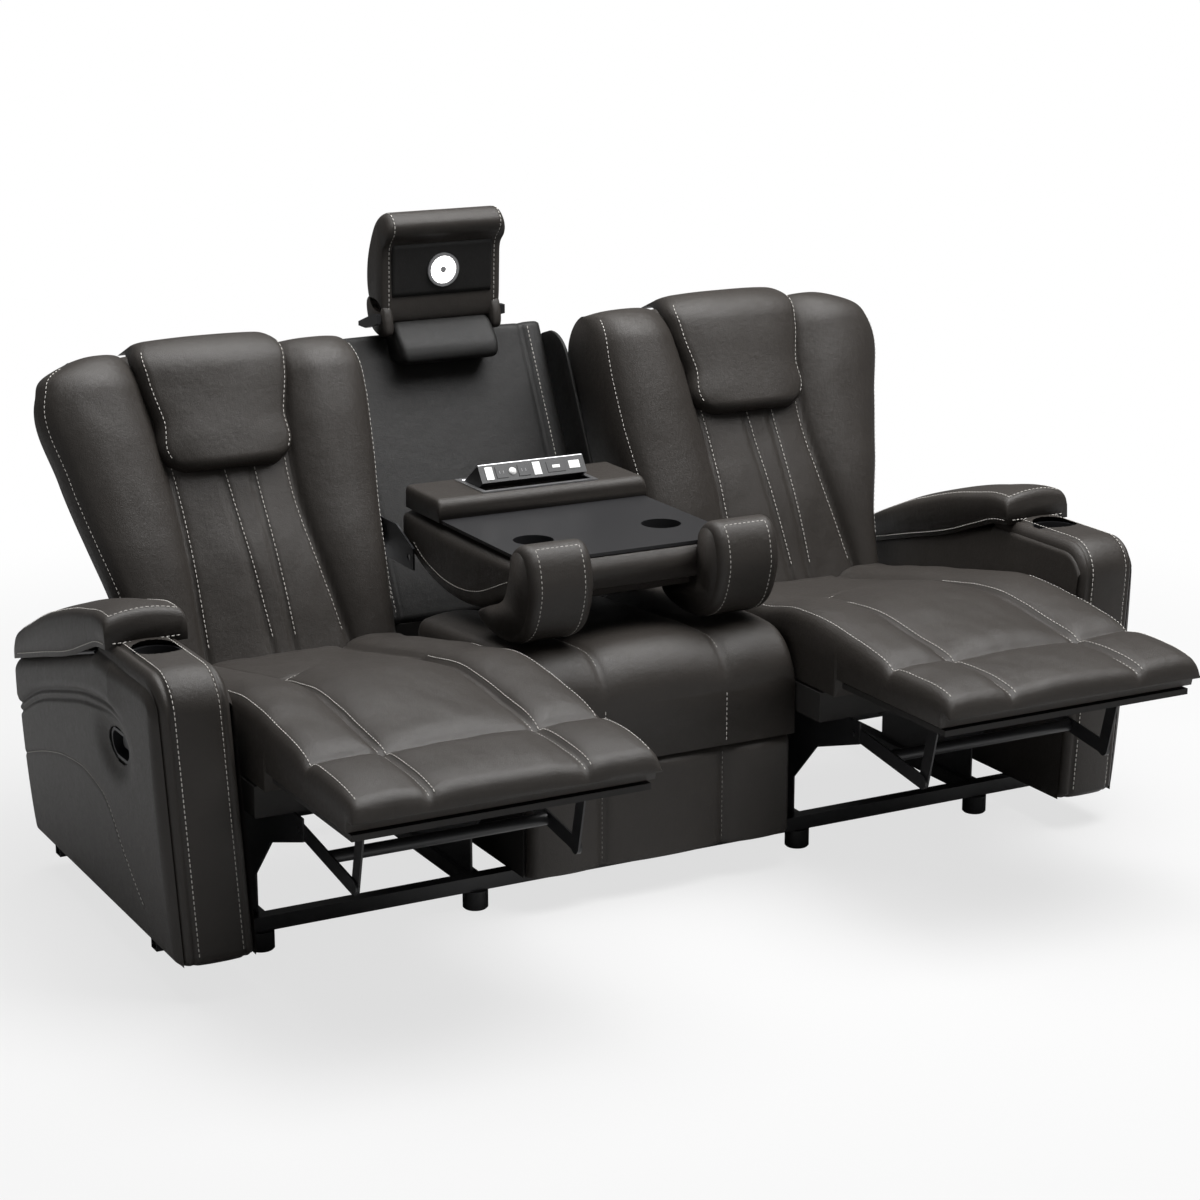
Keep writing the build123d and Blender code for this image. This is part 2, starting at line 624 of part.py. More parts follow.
# Release handles: oval cups let into the outer sides, each with a sprung lever on a pin
LEVER_PIN_ALONG = -(HOLE_LENGTH / 2 - 20)
LEVER_DEEP = LEVER_SETBACK + LEVER_THICK / 2
with BuildPart() as bezels:
    for side in SIDES.values():
        with BuildSketch(handle_plane(side, -RUNNING_FIT)):
            SlotOverall(BEZEL_LENGTH, BEZEL_WIDTH)
        extrude(amount=BEZEL_FLANGE)
        with BuildSketch(handle_plane(side, -RUNNING_FIT)):
            SlotOverall(HOLE_LENGTH - 2 * RUNNING_FIT, HOLE_WIDTH - 2 * RUNNING_FIT)
        extrude(amount=-(CUP_RECESS + BEZEL_WALL))
        with BuildSketch(handle_plane(side, CUP_RECESS)):
            SlotOverall(HOLE_LENGTH - 2 * BEZEL_WALL, HOLE_WIDTH - 2 * BEZEL_WALL)
        extrude(amount=CUP_RECESS + 2 * BEZEL_FLANGE, mode=Mode.SUBTRACT)
        pin_plane = handle_plane(side, LEVER_DEEP)
        with Locations(Location(pin_plane.from_local_coords((LEVER_PIN_ALONG, 0, 0)),
                                pin_plane.location.orientation)):
            Cylinder(LEVER_PIN, HOLE_WIDTH - 2 * BEZEL_WALL, rotation=(90, 0, 0))
save(bezels, "handle_bezels")

for name, side in SIDES.items():
    with BuildPart() as handle:
        with BuildSketch(handle_plane(side, LEVER_SETBACK + LEVER_THICK)):
            with Locations((LEVER_PIN_ALONG + LEVER_LENGTH / 2 - LEVER_WIDTH / 4, 0)):
                SlotOverall(LEVER_LENGTH, LEVER_WIDTH)
        extrude(amount=LEVER_THICK)
        pin_plane = handle_plane(side, LEVER_DEEP)
        with Locations(Location(pin_plane.from_local_coords((LEVER_PIN_ALONG, 0, 0)),
                                pin_plane.location.orientation)):
            Cylinder(LEVER_PIN + RUNNING_FIT, HOLE_WIDTH, rotation=(90, 0, 0), mode=Mode.SUBTRACT)
    save(handle, f"{name}_release_handle")

# Reclining backs: a flared frame board, a three-channel cushion and a head pillow on each
BACK_SLICES = [  # height, inner x, outer x, edge, crown
    (4, BACK_LOW_INNER, BACK_LOW_OUTER, BACK_EDGE, 18),
    (BACK_FLARE_FROM, BACK_LOW_INNER - 6, BACK_LOW_OUTER + 6, BACK_EDGE, BACK_CROWN),
    (BACK_FLARE_TO, BACK_INNER_X, BACK_OUTER_X, BACK_EDGE, BACK_CROWN),
    (BACK_HEIGHT - 110, BACK_INNER_X, BACK_OUTER_X, BACK_EDGE, BACK_CROWN),
    (BACK_HEIGHT - 30, BACK_INNER_X + 8, BACK_OUTER_X - 8, BACK_EDGE * 0.85, BACK_CROWN * 0.7),
    (BACK_HEIGHT + 30, BACK_INNER_X + 22, BACK_OUTER_X - 22, BACK_EDGE / 2, 14),
]
BACK_PIN = BACK_FOOT + BACK_UP * BACK_PIN_UP - BACK_OUT * BACK_PIN_BEHIND
PILLOW_BASE = BACK_EDGE + BACK_CROWN + SOFT_GAP

for name, side in SIDES.items():
    with BuildPart() as back_frame:
        corners = [(BACK_LOW_INNER, 0), (BACK_LOW_OUTER, 0), (BACK_LOW_OUTER, BACK_FLARE_FROM),
                   (BACK_OUTER_X - 8, BACK_FLARE_TO), (BACK_OUTER_X - 8, BACK_HEIGHT),
                   (BACK_INNER_X + 8, BACK_HEIGHT),
                   (BACK_INNER_X + 8, BACK_FLARE_TO), (BACK_LOW_INNER, BACK_FLARE_FROM)]
        with BuildSketch(Plane(origin=BACK_FOOT, x_dir=(1, 0, 0), z_dir=BACK_OUT)):
            with BuildLine():
                Polyline([(side * x, height) for x, height in corners], close=True)
            make_face()
        extrude(amount=-BACK_FRAME_THICK)
        fillet(back_frame.edges().filter_by(Axis.X).sort_by(Axis.Z)[-1:], 30)
        with Locations(BACK_PIN):
            Cylinder(BACK_PIN_RADIUS + RUNNING_FIT, 4 * BACK_OUTER_X, rotation=(0, 90, 0), mode=Mode.SUBTRACT)
    save(back_frame, f"{name}_back_frame")

    with BuildPart() as back_cushion:
        for height, inner, outer, edge, crown in BACK_SLICES:
            x0, x1 = sorted((side * inner, side * outer))
            with BuildSketch(back_slice(height)):
                pad_slice(x0, x1, edge, crown, BOLSTER, 6)
        loft()
    save(back_cushion, f"{name}_back_cushion")

    with BuildPart() as pillow:
        rise = PILLOW_HIGH - PILLOW_LOW
        for share, edge, crown in ((0, 8, 8), (0.2, PILLOW_EDGE, PILLOW_CROWN), (0.75, PILLOW_EDGE, PILLOW_CROWN),
                                   (1, 10, 12)):
            half = PILLOW_LOW_HALF + share * (PILLOW_HIGH_HALF - PILLOW_LOW_HALF)
            with BuildSketch(back_slice(PILLOW_LOW + share * rise, PILLOW_BASE)):
                with BuildLine():
                    Line((side * PILLOW_X - half, 0), (side * PILLOW_X + half, 0))
                    Line((side * PILLOW_X + half, 0), (side * PILLOW_X + half, edge))
                    ThreePointArc((side * PILLOW_X + half, edge), (side * PILLOW_X, edge + crown),
                                  (side * PILLOW_X - half, edge))
                    Line((side * PILLOW_X - half, edge), (side * PILLOW_X - half, 0))
                make_face()
        loft()
        add(back_cushion.part, mode=Mode.SUBTRACT)
    save(pillow, f"{name}_head_pillow")

# Hinge ears on the seat frames' rear boards hold a pin through each back
EAR_THICK = 5.0
EAR_GAP = 2.0
EAR_HALF = 20.0
PIN_DEPTH = BACK_PIN.Y - ARM_FRONT
EAR_OUTLINE = [(FRAME_REAR, FRAME_BOTTOM), (FRAME_REAR, FRAME_TOP), (BACK_DEPTH - EAR_GAP, BACK_Z - EAR_GAP),
               (PIN_DEPTH - EAR_HALF, BACK_PIN.Z + EAR_HALF * 0.7),
               (PIN_DEPTH + EAR_HALF, BACK_PIN.Z + EAR_HALF * 0.7),
               (PIN_DEPTH + EAR_HALF, BACK_PIN.Z - EAR_HALF)]
with BuildPart() as back_hinges:
    for side in SIDES.values():
        ears = (side * (BACK_LOW_INNER - EAR_GAP - EAR_THICK), side * (BACK_LOW_OUTER + EAR_GAP))
        for x in ears:
            stacked_plate((x, x + side * EAR_THICK), lambda: plate_outline(EAR_OUTLINE))
        pin((PIN_DEPTH, BACK_PIN.Z), ears[0], ears[1], BACK_PIN_RADIUS)
save(back_hinges, "back_hinges")

# Fixed centre back: a leaning panel on the centre frame's side boards
LEAN_RUN = tan(radians(PANEL_LEAN))
panel_head = PANEL_DEPTH + (PANEL_TOP - PANEL_Z) * LEAN_RUN
HEAD_HINGE_DEPTH = panel_head - HEAD_HINGE_AHEAD
HEAD_HINGE_Z = PANEL_TOP + HEAD_HINGE_RISE
with BuildPart() as center_back:
    with BuildSketch(across(-PANEL_HALF)):
        plate_outline([(panel_foot, FRAME_TOP), (panel_foot + panel_run, FRAME_TOP),
                       (panel_head + panel_run, PANEL_TOP), (panel_head, PANEL_TOP)])
    extrude(amount=2 * PANEL_HALF)
save(center_back, "center_back_panel")

# Console: padded body with two curved horns, tray, cups, power box and side brackets
CUP_POCKET = TRAY_CUP_RADIUS + TRAY_CUP_WALL
horn_low = CONSOLE_BOTTOM + 24
with BuildPart() as console:
    with BuildSketch(across(-CONSOLE_HALF)):
        plate_outline([(CONSOLE_FRONT, CONSOLE_BOTTOM), (CONSOLE_REAR - 140, CONSOLE_BOTTOM),
                       (CONSOLE_REAR, CONSOLE_BOTTOM + CONSOLE_RISE), (CONSOLE_REAR, CONSOLE_TOP),
                       (CONSOLE_FRONT, CONSOLE_TOP)])
    extrude(amount=2 * CONSOLE_HALF)
    fillet(console.edges().filter_by(Axis.Y).group_by(Axis.Z)[0], 24)
    with Locations([(x, at(TRAY_CUP_DEPTH), CONSOLE_TOP) for x in (-TRAY_CUP_X, TRAY_CUP_X)]):
        Cylinder(CUP_POCKET, TRAY_CUP_HEIGHT, align=(Align.CENTER, Align.CENTER, Align.MAX), mode=Mode.SUBTRACT)
    block(-STRIP_HALF - STRIP_GAP, STRIP_HALF + STRIP_GAP, POCKET_FRONT, STRIP_PIVOT_DEPTH + 12,
          CONSOLE_TOP - 22, CONSOLE_TOP, mode=Mode.SUBTRACT)
    for side in SIDES.values():
        pin((CONSOLE_PIVOT_DEPTH, CONSOLE_PIVOT_Z), side * (CONSOLE_HALF - 20),
            side * (BRACKET_X + BRACKET_THICK + PIN_END), CONSOLE_PIN_RADIUS)
save(console, "console_body")

HORN_INSETS = ((0, 14), (0.25, 0), (0.75, 0), (1, 14))  # share of the horn's width, and how far it draws in
with BuildPart() as horns:
    for side in SIDES.values():
        for share, inset in HORN_INSETS:
            with BuildSketch(across(side * (HORN_INNER + share * (HORN_OUTER - HORN_INNER)))):
                with BuildLine():
                    front, rear = at(HORN_FRONT + inset), at(CONSOLE_FRONT)
                    top, low = HORN_TOP - inset, horn_low + inset
                    crest, toe = (front + 10, top - 34), (front + 34, low)
                    Line((rear, low), (rear, top - 20))
                    ThreePointArc((rear, top - 20), ((front + rear) / 2 - 4, top), crest)
                    ThreePointArc(crest, (front, (top + low) / 2), toe)
                    Line(toe, (rear, low))
                make_face()
        loft()
save(horns, "console_horns")

with BuildPart() as tray:
    block(-TRAY_HALF, TRAY_HALF, CONSOLE_FRONT + 4, BOX_FRONT, CONSOLE_TOP, CONSOLE_TOP + TRAY_THICK)
    with Locations([(x, at(TRAY_CUP_DEPTH), CONSOLE_TOP) for x in (-TRAY_CUP_X, TRAY_CUP_X)]):
        Cylinder(CUP_POCKET, 4 * TRAY_THICK, mode=Mode.SUBTRACT)
save(tray, "console_tray")

with BuildPart() as tray_cups:
    for x in (-TRAY_CUP_X, TRAY_CUP_X):
        with Locations((x, at(TRAY_CUP_DEPTH), CONSOLE_TOP + TRAY_THICK)):
            Cylinder(CUP_POCKET - RUNNING_FIT, TRAY_CUP_HEIGHT + TRAY_THICK - SOFT_GAP,
                     align=(Align.CENTER, Align.CENTER, Align.MAX))
            Cylinder(TRAY_CUP_RADIUS, TRAY_CUP_HEIGHT + TRAY_THICK - SOFT_GAP - TRAY_CUP_WALL,
                     align=(Align.CENTER, Align.CENTER, Align.MAX), mode=Mode.SUBTRACT)
save(tray_cups, "tray_cups")

with BuildPart() as power_box:
    block(-BOX_HALF, BOX_HALF, BOX_FRONT, CONSOLE_REAR, CONSOLE_TOP, BOX_TOP)
    fillet(power_box.edges().filter_by(Axis.X).group_by(Axis.Z)[-1].sort_by(Axis.Y)[0], BOX_ROLL)
    block(-STRIP_HALF - STRIP_GAP, STRIP_HALF + STRIP_GAP, POCKET_FRONT, STRIP_PIVOT_DEPTH + 12,
          CONSOLE_TOP, BOX_TOP, mode=Mode.SUBTRACT)
save(power_box, "console_power_box")

bracket_top = CONSOLE_PIVOT_Z + BRACKET_RISE
bracket_low = CONSOLE_PIVOT_Z - BRACKET_EAR
with BuildPart() as brackets:
    for side in SIDES.values():
        x = side * BRACKET_X
        with BuildSketch(across(min(x, x + side * BRACKET_THICK))):
            plate_outline([(CONSOLE_PIVOT_DEPTH - BRACKET_EAR, bracket_low),
                           (CONSOLE_PIVOT_DEPTH + BRACKET_EAR, bracket_low),
                           (PANEL_DEPTH + (bracket_low - PANEL_Z) * LEAN_RUN, bracket_low),
                           (PANEL_DEPTH + (bracket_top - PANEL_Z) * LEAN_RUN, bracket_top),
                           (CONSOLE_PIVOT_DEPTH + BRACKET_RISE, bracket_top),
                           (CONSOLE_PIVOT_DEPTH - BRACKET_EAR, CONSOLE_PIVOT_Z + BRACKET_EAR)])
            with Locations((at(CONSOLE_PIVOT_DEPTH), CONSOLE_PIVOT_Z)):
                Circle(CONSOLE_PIN_RADIUS + RUNNING_FIT, mode=Mode.SUBTRACT)
        extrude(amount=BRACKET_THICK)
save(brackets, "console_brackets")

# Pop-up power strip: a flush frame in the box, and a wedge module on a pin along its rear edge
STRIP_PIVOT_Z = BOX_TOP - 4
STRIP_AXIS = Vector(0, at(STRIP_PIVOT_DEPTH), STRIP_PIVOT_Z)
STRIP_FRONT = Vector(0, -cos(radians(STRIP_OPEN)), sin(radians(STRIP_OPEN)))
STRIP_UP = Vector(0, sin(radians(STRIP_OPEN)), cos(radians(STRIP_OPEN)))


def strip_plane(x, forward=0.0, up=0.0):
    """Plane across the opened strip: its own X axis runs to the strip's front and Y out of its lid."""
    return Plane(origin=STRIP_AXIS + Vector(x, 0, 0) + STRIP_FRONT * forward + STRIP_UP * up,
                 x_dir=STRIP_FRONT, z_dir=(-1, 0, 0))


with BuildPart() as strip_frame:
    block(-STRIP_HALF - FRAME_LIP, STRIP_HALF + FRAME_LIP, POCKET_FRONT - FRAME_LIP,
          STRIP_PIVOT_DEPTH + 12 + FRAME_LIP, BOX_TOP, BOX_TOP + FRAME_PLATE)
    block(-STRIP_HALF - STRIP_GAP / 2, STRIP_HALF + STRIP_GAP / 2, POCKET_FRONT, STRIP_PIVOT_DEPTH + 12,
          BOX_TOP, BOX_TOP + FRAME_PLATE, mode=Mode.SUBTRACT)
    pin((STRIP_PIVOT_DEPTH, STRIP_PIVOT_Z), -STRIP_HALF - STRIP_GAP, STRIP_HALF + STRIP_GAP, STRIP_PIN_RADIUS)
save(strip_frame, "power_strip_frame")

with BuildPart() as strip_module:
    with BuildSketch(strip_plane(STRIP_HALF)):
        with BuildLine():
            Polyline((-6, 5), (STRIP_LENGTH, 5), (STRIP_LENGTH, -STRIP_FACE), (STRIP_LENGTH - 18, -STRIP_FACE),
                     (-6, -5), close=True)
        make_face()
        Circle(STRIP_PIN_RADIUS + RUNNING_FIT, mode=Mode.SUBTRACT)
    extrude(amount=2 * STRIP_HALF)
save(strip_module, "power_strip_module")

with BuildPart() as outlets:
    for x in OUTLET_X:
        with BuildSketch(Plane(origin=STRIP_AXIS + Vector(x, 0, 0) + STRIP_FRONT * STRIP_LENGTH
                               - STRIP_UP * (STRIP_FACE - 5) / 2, x_dir=(1, 0, 0), z_dir=STRIP_FRONT)):
            RectangleRounded(2 * OUTLET_HALF_WIDTH, 2 * OUTLET_HALF_HEIGHT, 3)
        extrude(amount=OUTLET_THICK)
save(outlets, "power_strip_outlets")

# Raised head pad: a curved padded shell on a rod, over a tongue on the centre panel
flap_foot = PANEL_DEPTH + (FLAP_LOW_Z - PANEL_Z) * LEAN_RUN
with BuildPart() as tongue:
    with BuildSketch(across(-FLAP_HALF)):
        plate_outline([(flap_foot - FLAP_THICK, FLAP_LOW_Z), (flap_foot, FLAP_LOW_Z),
                       (panel_head, PANEL_TOP), (HEAD_HINGE_DEPTH, HEAD_HINGE_Z - FLAP_HINGE_GAP)])
    extrude(amount=2 * FLAP_HALF)
save(tongue, "headrest_tongue")

with BuildPart() as head_hinge:
    for side in SIDES.values():
        x = side * (HEAD_HALF + HEAD_LUG_GAP)
        with BuildSketch(across(min(x, x + side * HEAD_LUG))):
            plate_outline([(HEAD_HINGE_DEPTH - HEAD_LUG_EDGE, HEAD_HINGE_Z - HEAD_LUG_EDGE),
                           (panel_head, PANEL_TOP),
                           (panel_head + HEAD_LUG_SEAT, PANEL_TOP),
                           (panel_head + HEAD_LUG_SEAT, PANEL_TOP + HEAD_LUG_EDGE),
                           (HEAD_HINGE_DEPTH + HEAD_LUG_EDGE, HEAD_HINGE_Z + HEAD_LUG_EDGE),
                           (HEAD_HINGE_DEPTH - HEAD_LUG_EDGE, HEAD_HINGE_Z + HEAD_LUG_EDGE)])
        extrude(amount=HEAD_LUG)
    pin((HEAD_HINGE_DEPTH, HEAD_HINGE_Z), -HEAD_HALF - HEAD_LUG_GAP, HEAD_HALF + HEAD_LUG_GAP, HEAD_ROD_RADIUS)
save(head_hinge, "headrest_hinge")

# The shell's lamp face is a straight run; its back and its lip are arcs
HEAD_FACE_LOW = (HEAD_HINGE_DEPTH - HEAD_FACE_AHEAD, HEAD_HINGE_Z)
HEAD_FACE_HIGH = (HEAD_FACE_LOW[0] - HEAD_FACE_LEAN, HEAD_HINGE_Z + HEAD_FACE_HEIGHT)
HEAD_LIP = (HEAD_HINGE_DEPTH - HEAD_LIP_AHEAD, HEAD_TOP - HEAD_LIP_DROP)
FACE_RUN = Vector(0, HEAD_FACE_HIGH[0] - HEAD_FACE_LOW[0], HEAD_FACE_HIGH[1] - HEAD_FACE_LOW[1]).normalized()
FACE_OUT = Vector(0, -FACE_RUN.Z, FACE_RUN.Y)
with BuildPart() as head_pad:
    with BuildSketch(across(-HEAD_HALF)):
        with BuildLine():
            low, high, lip = [(at(depth), z) for depth, z in (HEAD_FACE_LOW, HEAD_FACE_HIGH, HEAD_LIP)]
            Line(low, high)
            ThreePointArc(high, ((high[0] + lip[0]) / 2 - 1, (high[1] + lip[1]) / 2 + 4), lip)
            top = (at(HEAD_HINGE_DEPTH) - HEAD_TOP_AHEAD, HEAD_TOP)
            ThreePointArc(lip, (lip[0] + 4, HEAD_TOP - 14), top)
            heel = (at(HEAD_HINGE_DEPTH) + HEAD_HEEL_BEHIND, HEAD_HINGE_Z + HEAD_HEEL_RISE)
            ThreePointArc(top, (at(HEAD_HINGE_DEPTH) + HEAD_BACK_BEHIND, HEAD_HINGE_Z + HEAD_BACK_RISE), heel)
            Line(heel, low)
        make_face()
    extrude(amount=2 * HEAD_HALF)
    with Locations((0, at(HEAD_HINGE_DEPTH), HEAD_HINGE_Z)):
        Cylinder(HEAD_ROD_RADIUS + RUNNING_FIT, 4 * HEAD_HALF, rotation=(0, 90, 0), mode=Mode.SUBTRACT)
save(head_pad, "headrest_pad")

lamp_share = (LAMP_Z - HEAD_FACE_LOW[1]) / (HEAD_FACE_HIGH[1] - HEAD_FACE_LOW[1])
lamp_depth = HEAD_FACE_LOW[0] + lamp_share * (HEAD_FACE_HIGH[0] - HEAD_FACE_LOW[0])
LAMP_PLANE = Plane(origin=(0, at(lamp_depth), LAMP_Z), x_dir=(1, 0, 0), z_dir=FACE_OUT)
with BuildPart() as lamp_rim:
    with BuildSketch(LAMP_PLANE):
        Circle(LAMP_RADIUS)
        Circle(LAMP_RADIUS - LAMP_RIM, mode=Mode.SUBTRACT)
    extrude(amount=LAMP_THICK)
save(lamp_rim, "lamp_bezel")

with BuildPart() as lens:
    with BuildSketch(LAMP_PLANE):
        Circle(LAMP_RADIUS - LAMP_RIM)
        Circle(BUTTON_RADIUS + RUNNING_FIT, mode=Mode.SUBTRACT)
    extrude(amount=LENS_THICK)
save(lens, "lamp_lens")

BUTTON_LIFT = 2.0
with BuildPart() as button:
    with BuildSketch(LAMP_PLANE.offset(BUTTON_LIFT)):
        Circle(BUTTON_RADIUS)
    extrude(amount=LENS_THICK + BUTTON_STAND - BUTTON_LIFT)
save(button, "lamp_button")
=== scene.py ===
import json
from math import cos, pi, radians, sin, sqrt, tan

import bpy
import numpy as np
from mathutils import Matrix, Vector, noise


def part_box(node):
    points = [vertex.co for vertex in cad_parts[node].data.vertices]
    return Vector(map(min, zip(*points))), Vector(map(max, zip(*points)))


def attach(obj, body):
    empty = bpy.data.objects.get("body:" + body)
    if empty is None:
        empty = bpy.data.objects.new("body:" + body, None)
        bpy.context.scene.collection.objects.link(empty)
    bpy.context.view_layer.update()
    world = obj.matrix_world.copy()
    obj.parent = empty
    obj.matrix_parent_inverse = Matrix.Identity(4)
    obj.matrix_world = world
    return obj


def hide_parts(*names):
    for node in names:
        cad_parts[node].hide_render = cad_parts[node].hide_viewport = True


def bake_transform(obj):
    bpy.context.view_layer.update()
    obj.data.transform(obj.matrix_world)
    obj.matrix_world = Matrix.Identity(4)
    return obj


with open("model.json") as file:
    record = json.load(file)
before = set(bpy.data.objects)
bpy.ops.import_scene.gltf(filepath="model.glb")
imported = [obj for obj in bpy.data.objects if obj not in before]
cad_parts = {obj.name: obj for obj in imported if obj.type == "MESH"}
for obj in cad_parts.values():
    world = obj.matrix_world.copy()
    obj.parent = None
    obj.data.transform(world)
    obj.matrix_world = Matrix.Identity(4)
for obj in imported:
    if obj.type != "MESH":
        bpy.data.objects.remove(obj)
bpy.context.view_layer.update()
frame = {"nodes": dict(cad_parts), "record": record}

# Places and sizes in metres, the same as the frame's
ARM_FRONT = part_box("left_arm_front")[0].y
SIDES = {"left": -1, "right": 1}
SEAT_CENTER = 0.615
SEAT_HALF = 0.303
FOLD_DEPTH = -0.050
PAD_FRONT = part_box("left_footrest_pad")[0].y - ARM_FRONT
BACK_LEAN = radians(22)
PANEL_LEAN = radians(27)
BACK_FOOT = Vector((0, ARM_FRONT + 0.772, 0.432))
PILLOW_X = 0.634
CENTER_FRONT = 0.100
STITCH_PITCH = 0.0105
STITCH_LENGTH = 0.0075
STITCH_WIDTH = 0.0019
STITCH_LIFT = 0.0009


class Sockets:
    """A node tree's output, joined to others with arithmetic."""

    def __init__(self, tree, out):
        self.tree = tree
        self.out = out

    def _math(self, operation, other):
        return make(self.tree, "ShaderNodeMath", {0: self, 1: other}, operation=operation)

    def __add__(self, other):
        return self._math("ADD", other)

    def __mul__(self, other):
        return self._math("MULTIPLY", other)


def make(tree, kind, inputs=None, out=0, **settings):
    """Add a node, set its settings and inputs, and return one of its outputs."""
    node = tree.nodes.new(kind)
    for key, value in settings.items():
        setattr(node, key, value)
    for key, value in (inputs or {}).items():
        if isinstance(value, Sockets):
            tree.links.new(value.out, node.inputs[key])
        else:
            node.inputs[key].default_value = value
    return None if out is None else Sockets(tree, node.outputs[out])


def new_material(name):
    """A material with a Principled surface; returns it, its tree and the surface node."""
    material = bpy.data.materials.new(name)
    material.use_nodes = True
    tree = material.node_tree
    surface = next(n for n in tree.nodes if n.type == "BSDF_PRINCIPLED")
    return material, tree, surface


def plain(name, color, roughness, metallic=0.0, speckle=0.0, scale=900.0, bump=0.0):
    """A simple finish with a faint variation in tone and a fine bump."""
    material, tree, surface = new_material(name)
    surface.inputs["Roughness"].default_value = roughness
    surface.inputs["Metallic"].default_value = metallic
    place = make(tree, "ShaderNodeTexCoord", out="Object")
    grain = make(tree, "ShaderNodeTexNoise", {"Vector": place, "Scale": scale, "Detail": 3.0})
    dark = [max(0.0, c * (1 - speckle)) for c in color] + [1]
    light = [min(1.0, c * (1 + speckle)) for c in color] + [1]
    tone = make(tree, "ShaderNodeMix", {"Factor": grain, 6: dark, 7: light}, out=2, data_type="RGBA")
    tree.links.new(tone.out, surface.inputs["Base Color"])
    if bump:
        bent = make(tree, "ShaderNodeBump", {"Height": grain, "Strength": bump, "Distance": 0.0004})
        tree.links.new(bent.out, surface.inputs["Normal"])
    return material


def leather(name, dark, light, roughness=0.46):
    """Grained upholstery: broad tone clouds, a pebbled grain and soft creases."""
    material, tree, surface = new_material(name)
    place = make(tree, "ShaderNodeTexCoord", out="Object")
    cloud = make(tree, "ShaderNodeTexNoise", {"Vector": place, "Scale": 9.0, "Detail": 5.0, "Roughness": 0.6})
    mottle = make(tree, "ShaderNodeTexNoise", {"Vector": place, "Scale": 120.0, "Detail": 3.0})
    pebble = make(tree, "ShaderNodeTexVoronoi", {"Vector": place, "Scale": 520.0}, feature="DISTANCE_TO_EDGE")
    crease = make(tree, "ShaderNodeTexNoise",
                  {"Vector": place, "Scale": 26.0, "Detail": 4.0, "Roughness": 0.55})
    mix = cloud * 0.7 + mottle * 0.3
    tone = make(tree, "ShaderNodeMix", {"Factor": mix, 6: [*dark, 1], 7: [*light, 1]}, out=2,
                data_type="RGBA")
    tree.links.new(tone.out, surface.inputs["Base Color"])
    gloss = mottle * 0.16 + (roughness - 0.08)
    tree.links.new(gloss.out, surface.inputs["Roughness"])
    surface.inputs["Specular IOR Level"].default_value = 0.34
    height = pebble * 0.5 + crease * 1.2 + mottle * 0.25
    bent = make(tree, "ShaderNodeBump", {"Height": height, "Strength": 0.55, "Distance": 0.0022})
    tree.links.new(bent.out, surface.inputs["Normal"])
    return material


def glowing(name, color, strength):
    """A lit lens."""
    material, _, surface = new_material(name)
    surface.inputs["Base Color"].default_value = [*color, 1]
    surface.inputs["Emission Color"].default_value = [*color, 1]
    surface.inputs["Emission Strength"].default_value = strength
    return material


HIDE = leather("upholstery", (0.0222, 0.0192, 0.0168), (0.036, 0.0314, 0.0276))
VINYL = leather("black_vinyl", (0.0064, 0.0060, 0.0057), (0.0095, 0.0090, 0.0086), roughness=0.54)
THREAD = plain("thread", (0.50, 0.48, 0.45), 0.75, speckle=0.15)
STEEL_BLACK = plain("black_steel", (0.012, 0.012, 0.013), 0.38, speckle=0.3, bump=0.15)
# bare_steel's base colour is darkened far below real steel: painted shade, because its pins sit in shadow
STEEL_BARE = plain("bare_steel", (0.055, 0.055, 0.058), 0.42, metallic=1.0, speckle=0.1)
ALUMINIUM = plain("satin_aluminium", (0.62, 0.62, 0.63), 0.34, metallic=1.0, speckle=0.06)
PLASTIC = plain("black_plastic", (0.008, 0.008, 0.009), 0.46, speckle=0.2, bump=0.08)
PLASTIC_GREY = plain("grey_plastic", (0.22, 0.22, 0.225), 0.42, speckle=0.08)
PLASTIC_WHITE = plain("white_plastic", (0.75, 0.75, 0.74), 0.3, speckle=0.03)
# plain_wood is near-black: partly the dark covering under the seats, partly painted shade so the board's thin
# strip under the footrests reads as shadowed mechanism
WOOD = plain("plain_wood", (0.012, 0.0105, 0.0095), 0.7, speckle=0.3, scale=60.0, bump=0.2)
WEBBING = plain("webbing", (0.016, 0.016, 0.017), 0.8, speckle=0.3, bump=0.4)
LENS = glowing("lamp_lens", (1.0, 0.985, 0.96), 6.0)

FINISHES = {"upholstery": HIDE, "black_vinyl": VINYL, "black_steel": STEEL_BLACK, "plain_wood": WOOD,
            "webbing": WEBBING, "black_plastic": PLASTIC, "white_plastic": PLASTIC_WHITE,
            "grey_plastic": PLASTIC_GREY, "satin_aluminium": ALUMINIUM, "bare_steel": STEEL_BARE,
            "lamp_lens": LENS}
for entry in frame["record"]["subparts"]:
    node = frame["nodes"][entry["node"]]
    node.data.materials.clear()
    node.data.materials.append(FINISHES[entry["material_slot"]])


# Soft forms: surfaces given by a function of two numbers, as closed rings of points
def rounded_drop(distance, radius):
    """How far a rounded edge falls below its flat, at a distance in from the edge."""
    inside = np.clip(1 - np.asarray(distance) / radius, 0, 1)
    return radius * (1 - np.sqrt(1 - inside ** 2))


def lobes(x, seams, swell, power=2.2):
    """Height of stuffed channels between seams, zero on each seam."""
    x = np.asarray(x, float)
    height = np.zeros_like(x)
    for left, right in zip(seams[:-1], seams[1:]):
        share = np.abs(2 * (x - left) / (right - left) - 1)
        height = np.where((x >= left) & (x <= right), swell * (1 - np.clip(share, 0, 1) ** power), height)
    return height


def groove(distance, depth, width):
    """A sewn seam's valley across a surface."""
    return -depth * np.exp(-(np.asarray(distance) / width) ** 2)


def uneven(x, t, per_x, per_t, seed):
    """Soft uneven stuffing: a smooth noise along x at one t, at a scale for each."""
    return np.array([noise.noise(Vector((v * per_x, t * per_t, seed))) for v in x])


